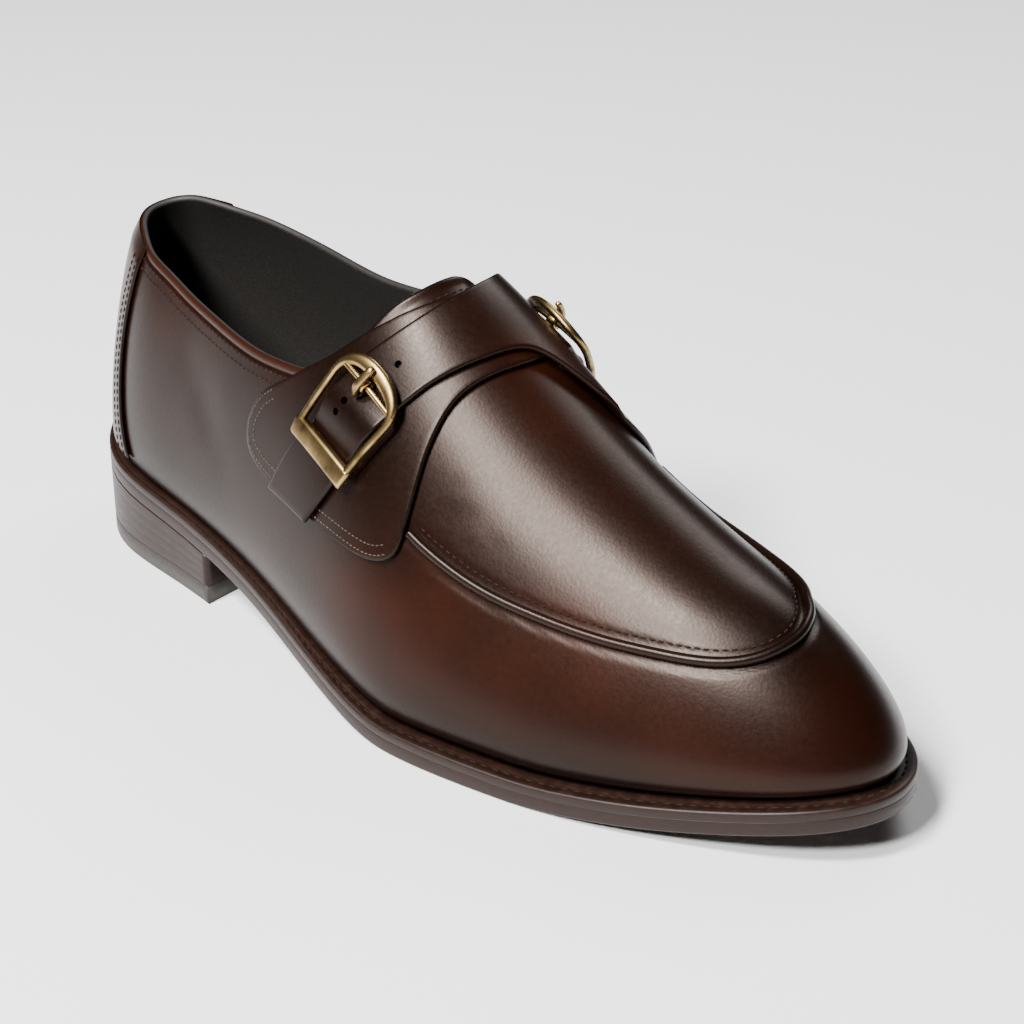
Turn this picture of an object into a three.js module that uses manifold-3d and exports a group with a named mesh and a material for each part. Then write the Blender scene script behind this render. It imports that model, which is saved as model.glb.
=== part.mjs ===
// A right monk strap shoe in brown calf, as an assembly of the pieces a shoemaker puts together.
// Millimetres, +X to the toe, +Y to the inner (medial) side, +Z up, heel and forefoot on z = 0.
import * as THREE from "three";
import { mergeVertices } from "three/addons/utils/BufferGeometryUtils.js";
import Module from "manifold-3d";

const wasm = await Module();
wasm.setup();

// Driving sizes of the last and the bottom.
const soleLength = 305;
const ballWidth = 105;
const heelLength = 84;
const heelHeight = 24.5; // under the outsole at the back of the heel
const toeSpring = 11.5;
const outsoleThickness = 4.2;
const weltThickness = 2.4;
const topPieceThickness = 6;
const breastHollow = 2.5;
const insoleThickness = 2.5;
const instepHeight = 111; // crown of the tongue above the floor
const backHeight = 101;
const ankleHeight = 92; // lowest point of the topline, at the middle of its width

// Leather walls, bands and clearances.
const upperWall = 2.2;
const tongueThickness = 2;
const bindingRise = 0.7;
const counterThickness = 1.1;
const strapThickness = 1.8;
const strapSwell = 1.5; // how far a strap swells up inside its buckle
const gap = 0.3;
const pipingWidth = 2.6;
const pipingRise = 1.7;

// Buckle sizes.
const buckleLength = 30;
const buckleWidth = 24.8;
const wireThickness = 2.4;
const barWidth = 6;
const barThickness = 2.4;
const prongThickness = 2;
const prongShift = -1; // the prong's place across the frame, to the heel
const crownWidth = 4.2; // the arch widens to this at its crown
const archRise = 1.2; // how far the crown stands off the strap

const full = Math.PI;
const vec = (x, y, z) => new THREE.Vector3(x, y, z);

// The sole's plan: half widths as shares of the ball width, at shares of the length from the heel.
const solePlan = [
  { at: 0, outer: 0, inner: 0 },
  { at: 0.03, outer: 0.184, inner: 0.196 },
  { at: 0.11, outer: 0.333, inner: 0.276 },
  { at: 0.22, outer: 0.372, inner: 0.262 },
  { at: 0.34, outer: 0.42, inner: 0.206 },
  { at: 0.46, outer: 0.496, inner: 0.239 },
  { at: 0.58, outer: 0.556, inner: 0.37 },
  { at: 0.68, outer: 0.526, inner: 0.472 },
  { at: 0.78, outer: 0.455, inner: 0.485 },
  { at: 0.88, outer: 0.336, inner: 0.373 },
  { at: 0.955, outer: 0.212, inner: 0.232 },
  { at: 1, outer: 0, inner: 0 },
];

// Height of the outsole's underside: heel as shares of the heel height, toe of the toe spring.
const soleProfile = [
  { at: 0, heel: 1, toe: 0 },
  { at: 0.275, heel: 0.65, toe: 0 },
  { at: 0.36, heel: 0.51, toe: 0 },
  { at: 0.49, heel: 0.2, toe: 0 },
  { at: 0.6, heel: 0, toe: 0 },
  { at: 0.72, heel: 0, toe: 0 },
  { at: 0.82, heel: 0, toe: 0.2 },
  { at: 1, heel: 0, toe: 1 },
];

// The welt's ledge around the upper, as shares of the ball width.
const ledgePlan = [
  { at: 0, ledge: 0.03 },
  { at: 0.2, ledge: 0.03 },
  { at: 0.45, ledge: 0.036 },
  { at: 0.65, ledge: 0.052 },
  { at: 1, ledge: 0.054 },
];

// The last's sections. crown: ridge height, as a share of the instep height. middle: the ridge's
// place across, and the bulges: how far each side swells over its feather edge, as shares of the
// ball width. Each wall says how long that side stays upright before it turns in.
const lastSections = [
  { at: 0, crown: 1.1, middle: 0, outerWall: 1.85, innerWall: 1.85, outerBulge: 0.015, innerBulge: 0.015 },
  { at: 0.05, crown: 1.04, middle: -0.01, outerWall: 1.6, innerWall: 1.9, outerBulge: 0.005, innerBulge: 0.015 },
  { at: 0.11, crown: 1.03, middle: -0.02, outerWall: 1.45, innerWall: 2.2, outerBulge: 0.01, innerBulge: 0.02 },
  { at: 0.2, crown: 1.07, middle: -0.02, outerWall: 1.5, innerWall: 2.4, outerBulge: 0.03, innerBulge: 0.05 },
  { at: 0.3, crown: 1.09, middle: -0.03, outerWall: 1.9, innerWall: 2.6, outerBulge: 0.03, innerBulge: 0.07 },
  { at: 0.4, crown: 1.085, middle: -0.025, outerWall: 1.9, innerWall: 2.4, outerBulge: 0.03, innerBulge: 0.08 },
  { at: 0.475, crown: 1.052, middle: -0.022, outerWall: 1.8, innerWall: 2.25, outerBulge: 0.03, innerBulge: 0.07 },
  { at: 0.58, crown: 0.885, middle: -0.02, outerWall: 1.6, innerWall: 2.15, outerBulge: 0.03, innerBulge: 0.03 },
  { at: 0.66, crown: 0.75, middle: -0.018, outerWall: 1.6, innerWall: 1.42, outerBulge: 0.03, innerBulge: 0.01 },
  { at: 0.76, crown: 0.615, middle: -0.01, outerWall: 1.7, innerWall: 1.07, outerBulge: 0.03, innerBulge: 0.01 },
  { at: 0.86, crown: 0.515, middle: -0.005, outerWall: 2.05, innerWall: 1.35, outerBulge: 0.03, innerBulge: 0.02 },
  { at: 0.94, crown: 0.47, middle: -0.003, outerWall: 2.35, innerWall: 1.85, outerBulge: 0.03, innerBulge: 0.028 },
  { at: 1, crown: 0.44, middle: 0, outerWall: 2.5, innerWall: 2.5, outerBulge: 0.03, innerBulge: 0.03 },
];
const outerSwellPeak = 0.18; // share of the section's height where each side is fullest
const innerSwellPeak = 0.28;
const swellBlend = 0.6; // sine of the angle over which the two sides part, from the toe's and the heel's middle
const heelCentre = 0.12; // share of the length where the heel's sections fan out
const toeCentre = 0.85;
const fanBlend = 0.022;
const toeSlope = 0.3; // fall of the ridge where the toe's sections fan out

// The topline seen from the side: shares of the length against shares of the named heights.
const topline = [
  { at: -0.03, back: 0.995, ankle: 0, instep: 0 },
  { at: 0.03, back: 0.993, ankle: 0, instep: 0 },
  { at: 0.09, back: 0.988, ankle: 0, instep: 0 },
  { at: 0.12, back: 0.97, ankle: 0, instep: 0 },
  { at: 0.156, back: 0, ankle: 1.048, instep: 0 },
  { at: 0.205, back: 0, ankle: 1.022, instep: 0 },
  { at: 0.253, back: 0, ankle: 1.008, instep: 0 },
  { at: 0.3, back: 0, ankle: 0.998, instep: 0 },
  { at: 0.345, back: 0, ankle: 0.995, instep: 0 },
  { at: 0.38, back: 0, ankle: 1.002, instep: 0 },
  { at: 0.413, back: 0, ankle: 1.015, instep: 0 },
  { at: 0.46, back: 0, ankle: 0, instep: 0.885 },
  { at: 0.5, back: 0, ankle: 0, instep: 0.935 },
  { at: 0.54, back: 0, ankle: 0, instep: 0.985 },
];
const toplineTilt = 0.2; // the inner side stands higher

// A natural cubic spline through a table's rows.
function spline(xs, ys) {
  const n = xs.length;
  const bend = new Array(n).fill(0);
  const work = new Array(n).fill(0);
  for (let i = 1; i < n - 1; i++) {
    const share = (xs[i] - xs[i - 1]) / (xs[i + 1] - xs[i - 1]);
    const pivot = share * bend[i - 1] + 2;
    const kink = (ys[i + 1] - ys[i]) / (xs[i + 1] - xs[i]) - (ys[i] - ys[i - 1]) / (xs[i] - xs[i - 1]);
    bend[i] = (share - 1) / pivot;
    work[i] = ((6 * kink) / (xs[i + 1] - xs[i - 1]) - share * work[i - 1]) / pivot;
  }
  for (let i = n - 2; i >= 0; i--) bend[i] = bend[i] * bend[i + 1] + work[i];
  return (x) => {
    let k = 0;
    while (k < n - 2 && x > xs[k + 1]) k++;
    const width = xs[k + 1] - xs[k];
    const b = THREE.MathUtils.clamp((x - xs[k]) / width, 0, 1);
    const a = 1 - b;
    const curve = (a * a * a - a) * bend[k] + (b * b * b - b) * bend[k + 1];
    return a * ys[k] + b * ys[k + 1] + (curve * width * width) / 6;
  };
}

// A monotone cubic through a table's rows, which keeps level stretches level.
function monotone(xs, ys) {
  const n = xs.length;
  const slope = xs.map((x, i) => (ys[i + 1] - ys[i]) / (xs[i + 1] - x)).slice(0, n - 1);
  const tangent = xs.map((x, i) => {
    if (i === 0) return slope[0];
    if (i === n - 1) return slope[n - 2];
    if (slope[i - 1] * slope[i] <= 0) return 0;
    return (2 * slope[i - 1] * slope[i]) / (slope[i - 1] + slope[i]);
  });
  return (x) => {
    let k = 0;
    while (k < n - 2 && x > xs[k + 1]) k++;
    const width = xs[k + 1] - xs[k];
    const t = THREE.MathUtils.clamp((x - xs[k]) / width, 0, 1);
    const u = 1 - t;
    return (
      ys[k] * u * u * (1 + 2 * t) +
      ys[k + 1] * t * t * (3 - 2 * t) +
      width * t * u * (tangent[k] * u - tangent[k + 1] * t)
    );
  };
}

const column = (table, name) => table.map((row) => row[name]);

// Places round the shoe are angles: 0 at the back of the heel, pi at the toe's tip,
// below pi on the outer side and above it on the inner side.
const angleAt = (share) => Math.acos(1 - 2 * THREE.MathUtils.clamp(share, 0, 1));
const shareAt = (angle) => (1 - Math.cos(angle)) / 2;
const isOuter = (angle) => angle <= full;

const planAngles = column(solePlan, "at").map(angleAt);
const outerWidth = spline(planAngles, column(solePlan, "outer"));
const innerWidth = spline(planAngles, column(solePlan, "inner"));
const profileShares = column(soleProfile, "at");
const heelRise = monotone(profileShares, column(soleProfile, "heel"));
const toeRise = monotone(profileShares, column(soleProfile, "toe"));
const ledgeShare = spline(column(ledgePlan, "at"), column(ledgePlan, "ledge"));
const sectionShares = column(lastSections, "at");
const crownShare = spline(sectionShares, column(lastSections, "crown"));
const middleShare = spline(sectionShares, column(lastSections, "middle"));
const outerWall = spline(sectionShares, column(lastSections, "outerWall"));
const innerWall = spline(sectionShares, column(lastSections, "innerWall"));
const outerBulge = spline(sectionShares, column(lastSections, "outerBulge"));
const innerBulge = spline(sectionShares, column(lastSections, "innerBulge"));

// A point of the sole's edge in plan, moved inwards by inset.
function edgePoint(angle, inset = 0) {
  const at = (a) => {
    const half = isOuter(a) ? -outerWidth(a) : innerWidth(2 * full - a);
    return new THREE.Vector2(shareAt(a) * soleLength, half * ballWidth);
  };
  const point = at(angle);
  if (!inset) return point;
  const step = 0.01;
  const ends = [angle - step, angle + step].map((a) => at((a + 2 * full) % (2 * full)));
  const along = ends[1].sub(ends[0]).normalize();
  return point.add(new THREE.Vector2(-along.y, along.x).multiplyScalar(inset));
}

const soleUnder = (share) => heelRise(share) * heelHeight + toeRise(share) * toeSpring;
const weltTop = (share) => soleUnder(share) + outsoleThickness + gap + weltThickness;
const featherHeight = (share) => weltTop(share) + gap;

// Where a section's ridge lies along the shoe: sections fan out round the heel and the toe.
function ridgeShare(share) {
  const rise = fanBlend * Math.log(1 + Math.exp((share - heelCentre) / fanBlend));
  const inside = heelCentre + rise;
  return toeCentre - fanBlend * Math.log(1 + Math.exp((toeCentre - inside) / fanBlend));
}

function ridgePoint(share) {
  const at = ridgeShare(share);
  const crown = crownShare(Math.min(share, Math.max(at, heelCentre)));
  return vec(at * soleLength, middleShare(at) * ballWidth, crown * instepHeight);
}

function swellPeak(angle) {
  const middle = (outerSwellPeak + innerSwellPeak) / 2;
  const apart = THREE.MathUtils.smoothstep(Math.abs(Math.sin(angle)), 0, swellBlend);
  return middle + ((isOuter(angle) ? outerSwellPeak : innerSwellPeak) - middle) * apart;
}

// A point of the last: angle round the shoe, and lift from 0 at the feather edge to 1 on the ridge.
function lastPoint(angle, lift) {
  const share = shareAt(angle);
  const outer = isOuter(angle);
  const edge = edgePoint(angle, ledgeShare(share) * ballWidth);
  const ridge = ridgePoint(share);
  const foot = featherHeight(share);
  const turn = (lift * full) / 2;
  const out = Math.max(0, Math.cos(turn));
  const rise = Math.pow(Math.sin(turn), 2 / (outer ? outerWall : innerWall)(share));
  const swell = (outer ? outerBulge : innerBulge)(share) * ballWidth;
  const fullness = rise / swellPeak(angle);
  const bulge = swell * fullness * Math.exp(1 - fullness) * out;
  const radial = edge.clone().sub(new THREE.Vector2(ridge.x, ridge.y));
  radial.setLength(radial.length() * out + bulge);
  const fall = toeSlope * Math.max(0, radial.x) * rise;
  return vec(ridge.x + radial.x, ridge.y + radial.y, foot + (ridge.z - foot) * rise - fall);
}

function lastNormal(angle, lift) {
  const step = 0.004;
  const side = (a) => {
    const l = THREE.MathUtils.clamp(lift, step, 1 - 2 * step);
    const around = lastPoint(a + step, l).sub(lastPoint(a - step, l));
    const up = lastPoint(a, l + step).sub(lastPoint(a, l - step));
    return around.cross(up).normalize();
  };
  const a = THREE.MathUtils.clamp(angle, step, 2 * full - step);
  if (lift < 1 - 1e-6) return side(a);
  return side(a).add(side(2 * full - a)).normalize();
}

// Girth: share of a section's arc, from 0 on the ridge to 1 at the feather edge.
const arcs = new Map();
function liftAt(angle, girth) {
  const key = angle.toFixed(7);
  const steps = 40;
  if (!arcs.has(key)) {
    const sums = [0];
    for (let i = 1; i <= steps; i++) {
      const piece = lastPoint(angle, 1 - i / steps).distanceTo(lastPoint(angle, 1 - (i - 1) / steps));
      sums.push(sums[i - 1] + piece);
    }
    arcs.set(key, sums);
  }
  const sums = arcs.get(key);
  const wanted = THREE.MathUtils.clamp(girth, 0, 1) * sums[steps];
  let k = 1;
  while (k < steps && sums[k] < wanted) k++;
  return 1 - (k - 1 + (wanted - sums[k - 1]) / (sums[k] - sums[k - 1])) / steps;
}

// A point off the last: out is its distance from the surface.
function offLast(angle, girth, out) {
  const lift = girth < 1e-9 ? 1 : liftAt(angle, girth);
  return lastPoint(angle, lift).add(lastNormal(angle, lift).multiplyScalar(out));
}

// The same by share of the length and by across, which runs from -1 at the outer feather edge,
// over the ridge at 0, to 1 at the inner one.
function onUpper(share, across, out) {
  const angle = angleAt(share);
  return offLast(across <= 0 ? angle : 2 * full - angle, Math.abs(across), out);
}

// Closed meshes.
function geometryFrom(points, faces) {
  const kept = faces.filter(([a, b, c]) => a !== b && b !== c && c !== a);
  const geometry = new THREE.BufferGeometry().setFromPoints(points);
  return geometry.setIndex(kept.flat());
}

// A closed solid between two grids of the same rows and columns, lower and upper.
function slab(lower, upper) {
  const rows = lower.length;
  const cols = lower[0].length;
  const points = [...lower.flat(), ...upper.flat()];
  const at = (layer, i, j) => layer * rows * cols + i * cols + j;
  const faces = [];
  const quad = (a, b, c, d) => faces.push([a, b, c], [a, c, d]);
  for (let i = 0; i < rows - 1; i++) {
    for (let j = 0; j < cols - 1; j++) {
      quad(at(1, i, j), at(1, i + 1, j), at(1, i + 1, j + 1), at(1, i, j + 1));
      quad(at(0, i, j), at(0, i, j + 1), at(0, i + 1, j + 1), at(0, i + 1, j));
    }
    quad(at(0, i, 0), at(0, i + 1, 0), at(1, i + 1, 0), at(1, i, 0));
    quad(at(1, i, cols - 1), at(1, i + 1, cols - 1), at(0, i + 1, cols - 1), at(0, i, cols - 1));
  }
  for (let j = 0; j < cols - 1; j++) {
    quad(at(1, 0, j), at(1, 0, j + 1), at(0, 0, j + 1), at(0, 0, j));
    quad(at(0, rows - 1, j), at(0, rows - 1, j + 1), at(1, rows - 1, j + 1), at(1, rows - 1, j));
  }
  return geometryFrom(points, faces);
}

function toSolid(geometry) {
  const bare = geometry.index ? geometry.toNonIndexed() : geometry.clone();
  const only = new THREE.BufferGeometry().setAttribute("position", bare.getAttribute("position"));
  const merged = mergeVertices(only, 1e-4);
  const triVerts = new Uint32Array(merged.index.array);
  const vertProperties = merged.attributes.position.array;
  const solid = new wasm.Manifold(new wasm.Mesh({ numProp: 3, vertProperties, triVerts }));
  if (solid.volume() > 0) return solid;
  for (let i = 0; i < triVerts.length; i += 3) {
    [triVerts[i + 1], triVerts[i + 2]] = [triVerts[i + 2], triVerts[i + 1]];
  }
  return new wasm.Manifold(new wasm.Mesh({ numProp: 3, vertProperties, triVerts }));
}

function toGeometry(solid) {
  const mesh = solid.getMesh();
  const geometry = new THREE.BufferGeometry();
  geometry.setAttribute("position", new THREE.BufferAttribute(mesh.vertProperties, 3));
  return geometry.setIndex(new THREE.BufferAttribute(mesh.triVerts, 1));
}

const spread = (count, from = 0, to = 1) =>
  Array.from({ length: count + 1 }, (_, i) => from + ((to - from) * i) / count);

// A plate that fills the sole's plan between two heights, each a function of the length's share.
function plate(inset, low, high, stations, columns) {
  const layer = (height) =>
    stations.map((angle) => {
      const right = edgePoint(angle, inset);
      const left = edgePoint(2 * full - angle, inset);
      const share = shareAt(angle);
      return spread(columns).map((k) =>
        vec(right.x + (left.x - right.x) * k, right.y + (left.y - right.y) * k, height(share)),
      );
    });
  return slab(layer(low), layer(high));
}

const soleStations = spread(34, 0.001, full - 0.001);

function makeOutsole() {
  return plate(0, soleUnder, (s) => soleUnder(s) + outsoleThickness, soleStations, 2);
}

// The welt runs all round, from the edge to under the upper's feather.
function makeWelt() {
  const inner = (angle) => ledgeShare(shareAt(angle)) * ballWidth + upperWall;
  const ring = spread(68, 0, 2 * full).slice(0, -1);
  const low = (s) => soleUnder(s) + outsoleThickness + gap;
  const corners = [
    [() => 0, low],
    [() => 0, weltTop],
    [inner, weltTop],
    [inner, low],
  ];
  return ringSolid(ring, corners);
}

// A closed ring round the shoe, its section given by corners: inset and height functions.
function ringSolid(angles, corners) {
  const points = angles.flatMap((angle) =>
    corners.map(([inset, height]) => {
      const p = edgePoint(angle, inset(angle));
      return vec(p.x, p.y, height(shareAt(angle)));
    }),
  );
  const n = corners.length;
  const faces = [];
  angles.forEach((_, i) => {
    const next = (i + 1) % angles.length;
    for (let j = 0; j < n; j++) {
      const k = (j + 1) % n;
      faces.push([i * n + j, next * n + j, next * n + k], [i * n + j, next * n + k, i * n + k]);
    }
  });
  return geometryFrom(points, faces);
}

// A slice of the heel: the sole's plan back of the breast line, which is slightly hollow.
function heelSlice(low, high) {
  const breast = heelLength / soleLength;
  const stations = spread(11, 0.001, angleAt(breast));
  const layer = (height) =>
    stations.map((angle) => {
      const share = shareAt(angle);
      const right = edgePoint(angle);
      const left = edgePoint(2 * full - angle);
      const hollow = breastHollow * Math.pow(share / breast, 3);
      return spread(4).map((k) => {
        const x = right.x - hollow * 4 * k * (1 - k);
        return vec(x, right.y + (left.y - right.y) * k, height(x / soleLength));
      });
    });
  return slab(layer(low), layer(high));
}

const makeTopPiece = () => heelSlice(() => 0, () => topPieceThickness);
const makeHeelStack = () => heelSlice(() => topPieceThickness + gap, (s) => soleUnder(s) - gap);

// The insole lies inside the upper's feather, on the welt and the outsole.
function makeInsole() {
  const inset = (s) => ledgeShare(s) * ballWidth + upperWall + 3 * gap;
  const stations = spread(28, 0.001, full - 0.001);
  const layer = (height) =>
    stations.map((angle) => {
      const share = shareAt(angle);
      const right = edgePoint(angle, inset(share));
      const left = edgePoint(2 * full - angle, inset(share));
      return spread(3).map((k) =>
        vec(right.x + (left.x - right.x) * k, right.y + (left.y - right.y) * k, height(share)),
      );
    });
  const low = (s) => soleUnder(s) + outsoleThickness + gap;
  return slab(layer(low), layer((s) => weltTop(s) + gap + insoleThickness));
}

// One skin of the upper: columns round the shoe, rows from the feather edge to the ridge, where
// the two sides share their points.
function domeGrid(angles, lifts, out) {
  const n = angles.length;
  return lifts.map((lift) =>
    angles.map((angle, i) => {
      const mirror = lift === 1 && i > n / 2 ? 2 * full - angle : angle;
      return lastPoint(mirror, lift).add(lastNormal(mirror, lift).multiplyScalar(out));
    }),
  );
}

function makeUpperShell() {
  const angles = spread(66, 0, 2 * full).slice(0, -1);
  const lifts = spread(14).map((k) => Math.pow(k, 1.15));
  const outside = domeGrid(angles, lifts, 0);
  const inside = domeGrid(angles, lifts, -upperWall);
  inside[0].forEach((p, i) => (p.z = outside[0][i].z));
  const n = angles.length;
  const rows = lifts.length;
  const faces = [];
  const at = (layer, j, i) => (layer * rows + j) * n + (i % n);
  for (let i = 0; i < n; i++) {
    for (let j = 0; j < rows - 1; j++) {
      const [a, b, c, d] = [at(0, j, i), at(0, j, i + 1), at(0, j + 1, i + 1), at(0, j + 1, i)];
      faces.push([a, b, c], [a, c, d]);
      const [e, f, g, h] = [at(1, j, i), at(1, j, i + 1), at(1, j + 1, i + 1), at(1, j + 1, i)];
      faces.push([e, g, f], [e, h, g]);
    }
    faces.push([at(0, 0, i), at(1, 0, i), at(1, 0, i + 1)], [at(0, 0, i), at(1, 0, i + 1), at(0, 0, i + 1)]);
  }
  return toSolid(geometryFrom([...outside.flat(), ...inside.flat()], faces));
}

const toplineShares = column(topline, "at");
const toplineHeights = topline.map(
  (row) => row.back * backHeight + row.ankle * ankleHeight + row.instep * instepHeight,
);
const toplineHeight = spline(toplineShares, toplineHeights);

// Everything above the topline, as seen from the side, tilted to stand higher on the inner side.
function makeCollarCutter() {
  const reach = ballWidth;
  const roof = 2 * instepHeight;
  const first = toplineShares[0];
  const last = toplineShares[toplineShares.length - 1];
  const outline = new THREE.Shape();
  outline.moveTo(first * soleLength, roof);
  for (const s of spread(60, first, last)) outline.lineTo(s * soleLength, toplineHeight(s));
  outline.lineTo(last * soleLength, roof);
  const geometry = new THREE.ExtrudeGeometry(outline, { depth: 2 * reach, bevelEnabled: false });
  geometry.rotateX(full / 2);
  geometry.translate(0, reach, 0);
  const tilt = new THREE.Matrix4().makeShear(0, 0, 0, toplineTilt, 0, 0);
  geometry.applyMatrix4(tilt);
  return toSolid(geometry);
}

function makeUpper() {
  return toGeometry(makeUpperShell().subtract(makeCollarCutter()));
}

// The tongue lies inside the upper, under the throat; its top edge is a rolled binding.
const tongueEdge = [
  { across: -0.36, at: 0.428 },
  { across: -0.29, at: 0.4545 },
  { across: -0.226, at: 0.467 },
  { across: -0.168, at: 0.4765 },
  { across: -0.1, at: 0.4885 },
  { across: 0, at: 0.497 },
  { across: 0.1, at: 0.494 },
  { across: 0.2, at: 0.481 },
  { across: 0.36, at: 0.445 },
];
const tongueFront = 0.575;
const tongueEdgeAt = spline(column(tongueEdge, "across"), column(tongueEdge, "at"));

// A leather sheet laid off the upper: place gives the share and the across of its own grid, and
// low and high the distances of its two faces.
function sheet(rows, columns, place, low, high) {
  const face = (out) =>
    spread(rows).map((u) => spread(columns).map((v) => onUpper(...place(u, v), out(u, v))));
  return slab(face(low), face(high));
}

function makeTongue() {
  const side = tongueEdge[0].across;
  const top = upperWall + 3 * gap;
  const place = (u, v) => {
    const across = side * (1 - 2 * v);
    const rear = tongueEdgeAt(across);
    return [rear + (tongueFront - rear) * Math.pow(u, 2), across];
  };
  const roll = (u) => bindingRise * Math.exp(-Math.pow(4 * u, 4));
  return sheet(6, 14, place, (u) => -top - tongueThickness - roll(u), (u) => -top + roll(u));
}

// An outline laid on the upper: a row for each place across, with its rear and front edge as shares
// of the length, the number of straps that it lies over and how far it swells up.
function outlinePlace(table) {
  const rows = table.map((_, i) => i);
  const [across, rear, front] = ["across", "rear", "front"].map((n) => spline(rows, column(table, n)));
  const last = table.length - 1;
  return (u, v) => [rear(u * last) + (front(u * last) - rear(u * last)) * v, across(u * last)];
}

function outlineOut(table) {
  const rows = table.map((_, i) => i);
  const over = monotone(rows, column(table, "over"));
  const swell = monotone(rows, column(table, "swell"));
  const last = table.length - 1;
  return (u) => gap + over(u * last) * (strapThickness + gap) + swell(u * last) * strapSwell;
}

function makeWing(table, rows, columns) {
  const low = outlineOut(table);
  return toSolid(sheet(rows, columns, outlinePlace(table), low, (u) => low(u) + strapThickness));
}

// The outer wing, and its strap that runs under the crossing to the inner buckle. Past the slit it
// lies over the inner wing.
const outerWing = [
  { across: -0.685, rear: 0.405, front: 0.435, over: 0, swell: 0 },
  { across: -0.68, rear: 0.385, front: 0.475, over: 0, swell: 0 },
  { across: -0.667, rear: 0.367, front: 0.522, over: 0, swell: 0 },
  { across: -0.645, rear: 0.355, front: 0.553, over: 0, swell: 0 },
  { across: -0.61, rear: 0.35, front: 0.571, over: 0, swell: 0 },
  { across: -0.565, rear: 0.352, front: 0.577, over: 0, swell: 0 },
  { across: -0.504, rear: 0.365, front: 0.577, over: 0, swell: 0 },
  { across: -0.451, rear: 0.391, front: 0.576, over: 0, swell: 0 },
  { across: -0.388, rear: 0.422, front: 0.574, over: 0, swell: 0 },
  { across: -0.339, rear: 0.445, front: 0.573, over: 0, swell: 0 },
  { across: -0.291, rear: 0.462, front: 0.573, over: 0, swell: 0 },
  { across: -0.224, rear: 0.483, front: 0.575, over: 0, swell: 0 },
  { across: -0.151, rear: 0.502, front: 0.582, over: 0, swell: 0 },
  { across: -0.077, rear: 0.518, front: 0.591, over: 0, swell: 0 },
  { across: 0, rear: 0.528, front: 0.596, over: 0, swell: 0 },
  { across: 0.06, rear: 0.528, front: 0.591, over: 0, swell: 0 },
  { across: 0.12, rear: 0.524, front: 0.584, over: 0, swell: 0 },
  { across: 0.17, rear: 0.52, front: 0.577, over: 1, swell: 0 },
  { across: 0.225, rear: 0.515, front: 0.571, over: 1, swell: 0 },
  { across: 0.28, rear: 0.51, front: 0.566, over: 1, swell: 1 },
  { across: 0.325, rear: 0.506, front: 0.562, over: 1, swell: 0.7 },
  { across: 0.37, rear: 0.501, front: 0.557, over: 1, swell: 0 },
  { across: 0.43, rear: 0.494, front: 0.551, over: 1, swell: 0 },
  { across: 0.49, rear: 0.486, front: 0.545, over: 1, swell: 0 },
  { across: 0.55, rear: 0.479, front: 0.538, over: 1, swell: 0 },
  { across: 0.61, rear: 0.472, front: 0.531, over: 1, swell: 0 },
];

// The inner wing, and its strap that crosses over the other one to the outer buckle.
const innerWing = [
  { across: 0.685, rear: 0.42, front: 0.47, over: 0, swell: 0 },
  { across: 0.68, rear: 0.395, front: 0.53, over: 0, swell: 0 },
  { across: 0.66, rear: 0.37, front: 0.58, over: 0, swell: 0 },
  { across: 0.63, rear: 0.356, front: 0.612, over: 0, swell: 0 },
  { across: 0.58, rear: 0.352, front: 0.634, over: 0, swell: 0 },
  { across: 0.52, rear: 0.362, front: 0.643, over: 0, swell: 0 },
  { across: 0.451, rear: 0.391, front: 0.647, over: 0, swell: 0 },
  { across: 0.388, rear: 0.422, front: 0.65, over: 0, swell: 0 },
  { across: 0.339, rear: 0.445, front: 0.653, over: 0, swell: 0 },
  { across: 0.291, rear: 0.462, front: 0.656, over: 0, swell: 0 },
  { across: 0.224, rear: 0.474, front: 0.658, over: 0, swell: 0 },
  { across: 0.165, rear: 0.487, front: 0.655, over: 0.1, swell: 0 },
  { across: 0.115, rear: 0.501, front: 0.645, over: 1, swell: 0 },
  { across: 0.06, rear: 0.515, front: 0.618, over: 1, swell: 0 },
  { across: 0, rear: 0.524, front: 0.591, over: 1, swell: 0 },
  { across: -0.085, rear: 0.522, front: 0.578, over: 1, swell: 0 },
  { across: -0.172, rear: 0.511, front: 0.564, over: 1, swell: 0 },
  { across: -0.25, rear: 0.496, front: 0.55, over: 1, swell: 0 },
  { across: -0.3, rear: 0.484, front: 0.5415, over: 1, swell: 0 },
  { across: -0.34, rear: 0.4765, front: 0.534, over: 1, swell: 0 },
  { across: -0.4, rear: 0.4665, front: 0.525, over: 1, swell: 1 },
  { across: -0.44, rear: 0.46, front: 0.518, over: 1, swell: 0.7 },
  { across: -0.49, rear: 0.4505, front: 0.5095, over: 1, swell: 0 },
  { across: -0.55, rear: 0.433, front: 0.498, over: 1, swell: 0 },
  { across: -0.61, rear: 0.42, front: 0.486, over: 1, swell: 0 },
  { across: -0.69, rear: 0.406, front: 0.468, over: 1, swell: 0 },
];

// The slit in the inner wing, where the outer wing's strap comes out to its buckle.
const slit = { low: 0.105, high: 0.185, rear: 0.511, front: 0.594 };

function makeSlitCutter() {
  const place = (u, v) => [slit.rear + (slit.front - slit.rear) * v, slit.low + (slit.high - slit.low) * u];
  const deep = 3 * strapThickness;
  return toSolid(sheet(4, 2, place, () => 0, () => gap + 2 * deep));
}

const makeOuterWing = () => toGeometry(makeWing(outerWing, 44, 5));
const makeInnerWing = () => toGeometry(makeWing(innerWing, 46, 7).subtract(makeSlitCutter()));

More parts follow.
